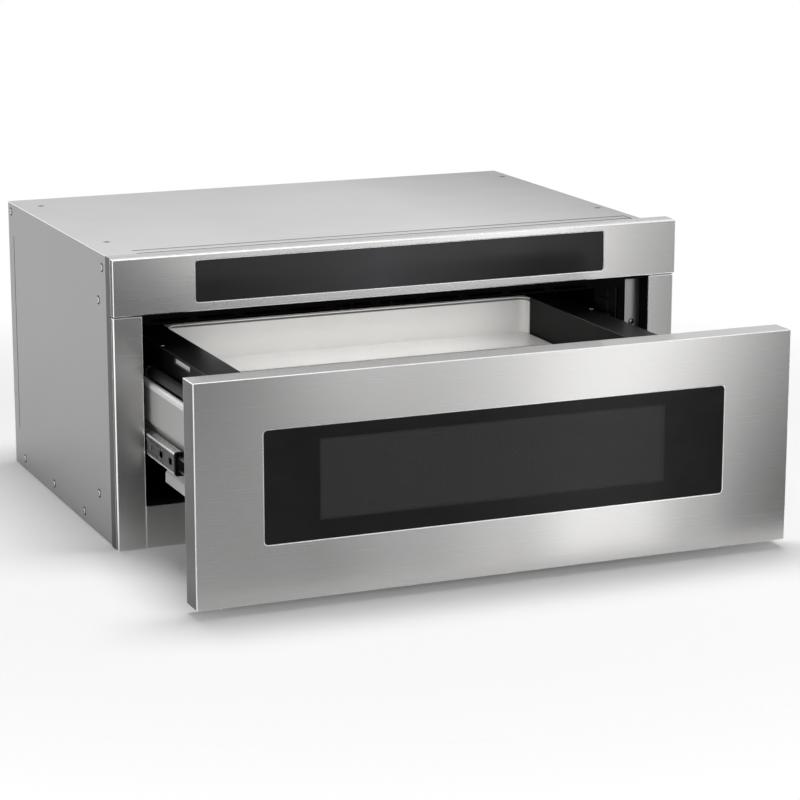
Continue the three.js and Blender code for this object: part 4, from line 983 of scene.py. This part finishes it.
def add_reflector():
    """A graded sheet that only gloss sees, for the broad upright bands on the brushed metal."""
    points = [(x, y, z) for y, z in REFLECTOR_PATH for x in REFLECTOR_X]
    strips = [(2 * i, 2 * i + 1, 2 * i + 3, 2 * i + 2) for i in range(len(REFLECTOR_PATH) - 1)]
    mesh = bpy.data.meshes.new("reflector")
    mesh.from_pydata(points, [], strips)
    sheet = bpy.data.objects.new("reflector", mesh)
    bpy.context.scene.collection.objects.link(sheet)
    sheet.visible_camera = False
    sheet.visible_diffuse = False
    sheet.visible_transmission = False
    sheet.visible_shadow = False
    material = bpy.data.materials.new("reflector_light")
    material.use_nodes = True
    material.node_tree.nodes.clear()
    nodes = Nodes(material.node_tree)
    x, y, z = nodes.axes()
    slope = nodes.math("DIVIDE", nodes.math("SUBTRACT", x, FAN[0]),
                       nodes.math("SUBTRACT", FAN[1], y))
    front_x = nodes.math("ADD", nodes.math("MULTIPLY", slope, FAN[1] - FRONT_Y), FAN[0])
    along = nodes.between(front_x, 0, 1, -FRONT_HALF, FRONT_HALF)
    near, far, card = (tone_ramp(nodes, along, tones)
                       for tones in (NEAR_TONES, FAR_TONES, CARD_TONES))
    outward = nodes.between(y, 0, 1, *NEAR_TO_FAR)
    strength = nodes.add("ShaderNodeMix", {0: outward, 2: near, 3: far}).outputs[0]
    upright = nodes.between(z, 0, 1, *FAR_TO_CARD)
    strength = nodes.add("ShaderNodeMix", {0: upright, 2: strength, 3: card}).outputs[0]
    light = nodes.add("ShaderNodeEmission", {"Color": (1, 1, 1, 1), "Strength": strength})
    nodes.feed(nodes.add("ShaderNodeOutputMaterial").inputs[0], light.outputs[0])
    mesh.materials.append(material)


def add_softbox(name, place, target, width, height, radiance, gloss=True, matt=True):
    """An even rectangular lamp; radiance is how bright its face is, with white paper at 1.
    Without gloss it leaves reflections alone, and without matt it shows in reflections only."""
    data = bpy.data.lights.new(name, "AREA")
    data.shape = "RECTANGLE"
    data.size, data.size_y = width, height
    data.energy = radiance * width * height * math.pi
    lamp = bpy.data.objects.new(name, data)
    lamp.location = place
    lamp.rotation_euler = (Vector(target) - Vector(place)).to_track_quat("-Z", "Y").to_euler()
    lamp.visible_glossy = gloss
    lamp.visible_diffuse = matt
    bpy.context.scene.collection.objects.link(lamp)


GLOW_Y = -0.165  # the cavity lamp's place along the chamber
GLOW_DROP = 0.007  # under the top of the chamber's wrap


def add_lights():
    add_softbox("top_softbox", (0.12, 0.0, 2.7), (0.1, -0.05, 0.1), 1.6, 1.0, 11.2, gloss=False)
    add_softbox("top_card", (0.12, 0.0, 2.65), (0.1, -0.05, 0.1), 1.6, 1.0, 1.15, matt=False)
    add_softbox("front_softbox", (-0.3, -4.3, 1.45), (0, 0, 0.25), 4.0, 1.3, 3.0, gloss=False)
    add_softbox("front_band", (1.8, -4.3, 1.45), (1.8, 0, 1.0), 1.1, 1.3, 10.0, matt=False)
    add_softbox("left_softbox", (-3.0, -1.35, 0.36), (-0.2, -0.3, 0.16), 1.2, 0.7, 4.4)
    low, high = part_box("chamber_wrap")
    middle = (low.x + high.x) / 2
    add_softbox("cavity_glow", (middle, GLOW_Y, high.z - GLOW_DROP), (middle, GLOW_Y, 0),
                0.44, 0.05, 2.6)


# ------------------------------------------------------------------ the scene
add_camera()
finishes = finish_nodes()
add_body_screws(finishes)
add_wall_fittings(finishes)
add_dimple_shade(finishes["dimple"])
add_vent_gauze(finishes["black_plastic"])
add_top_hem(finishes["edge"])
add_floor()
add_world()
add_lights()
add_reflector()
bpy.context.scene.view_settings.view_transform = "Standard"
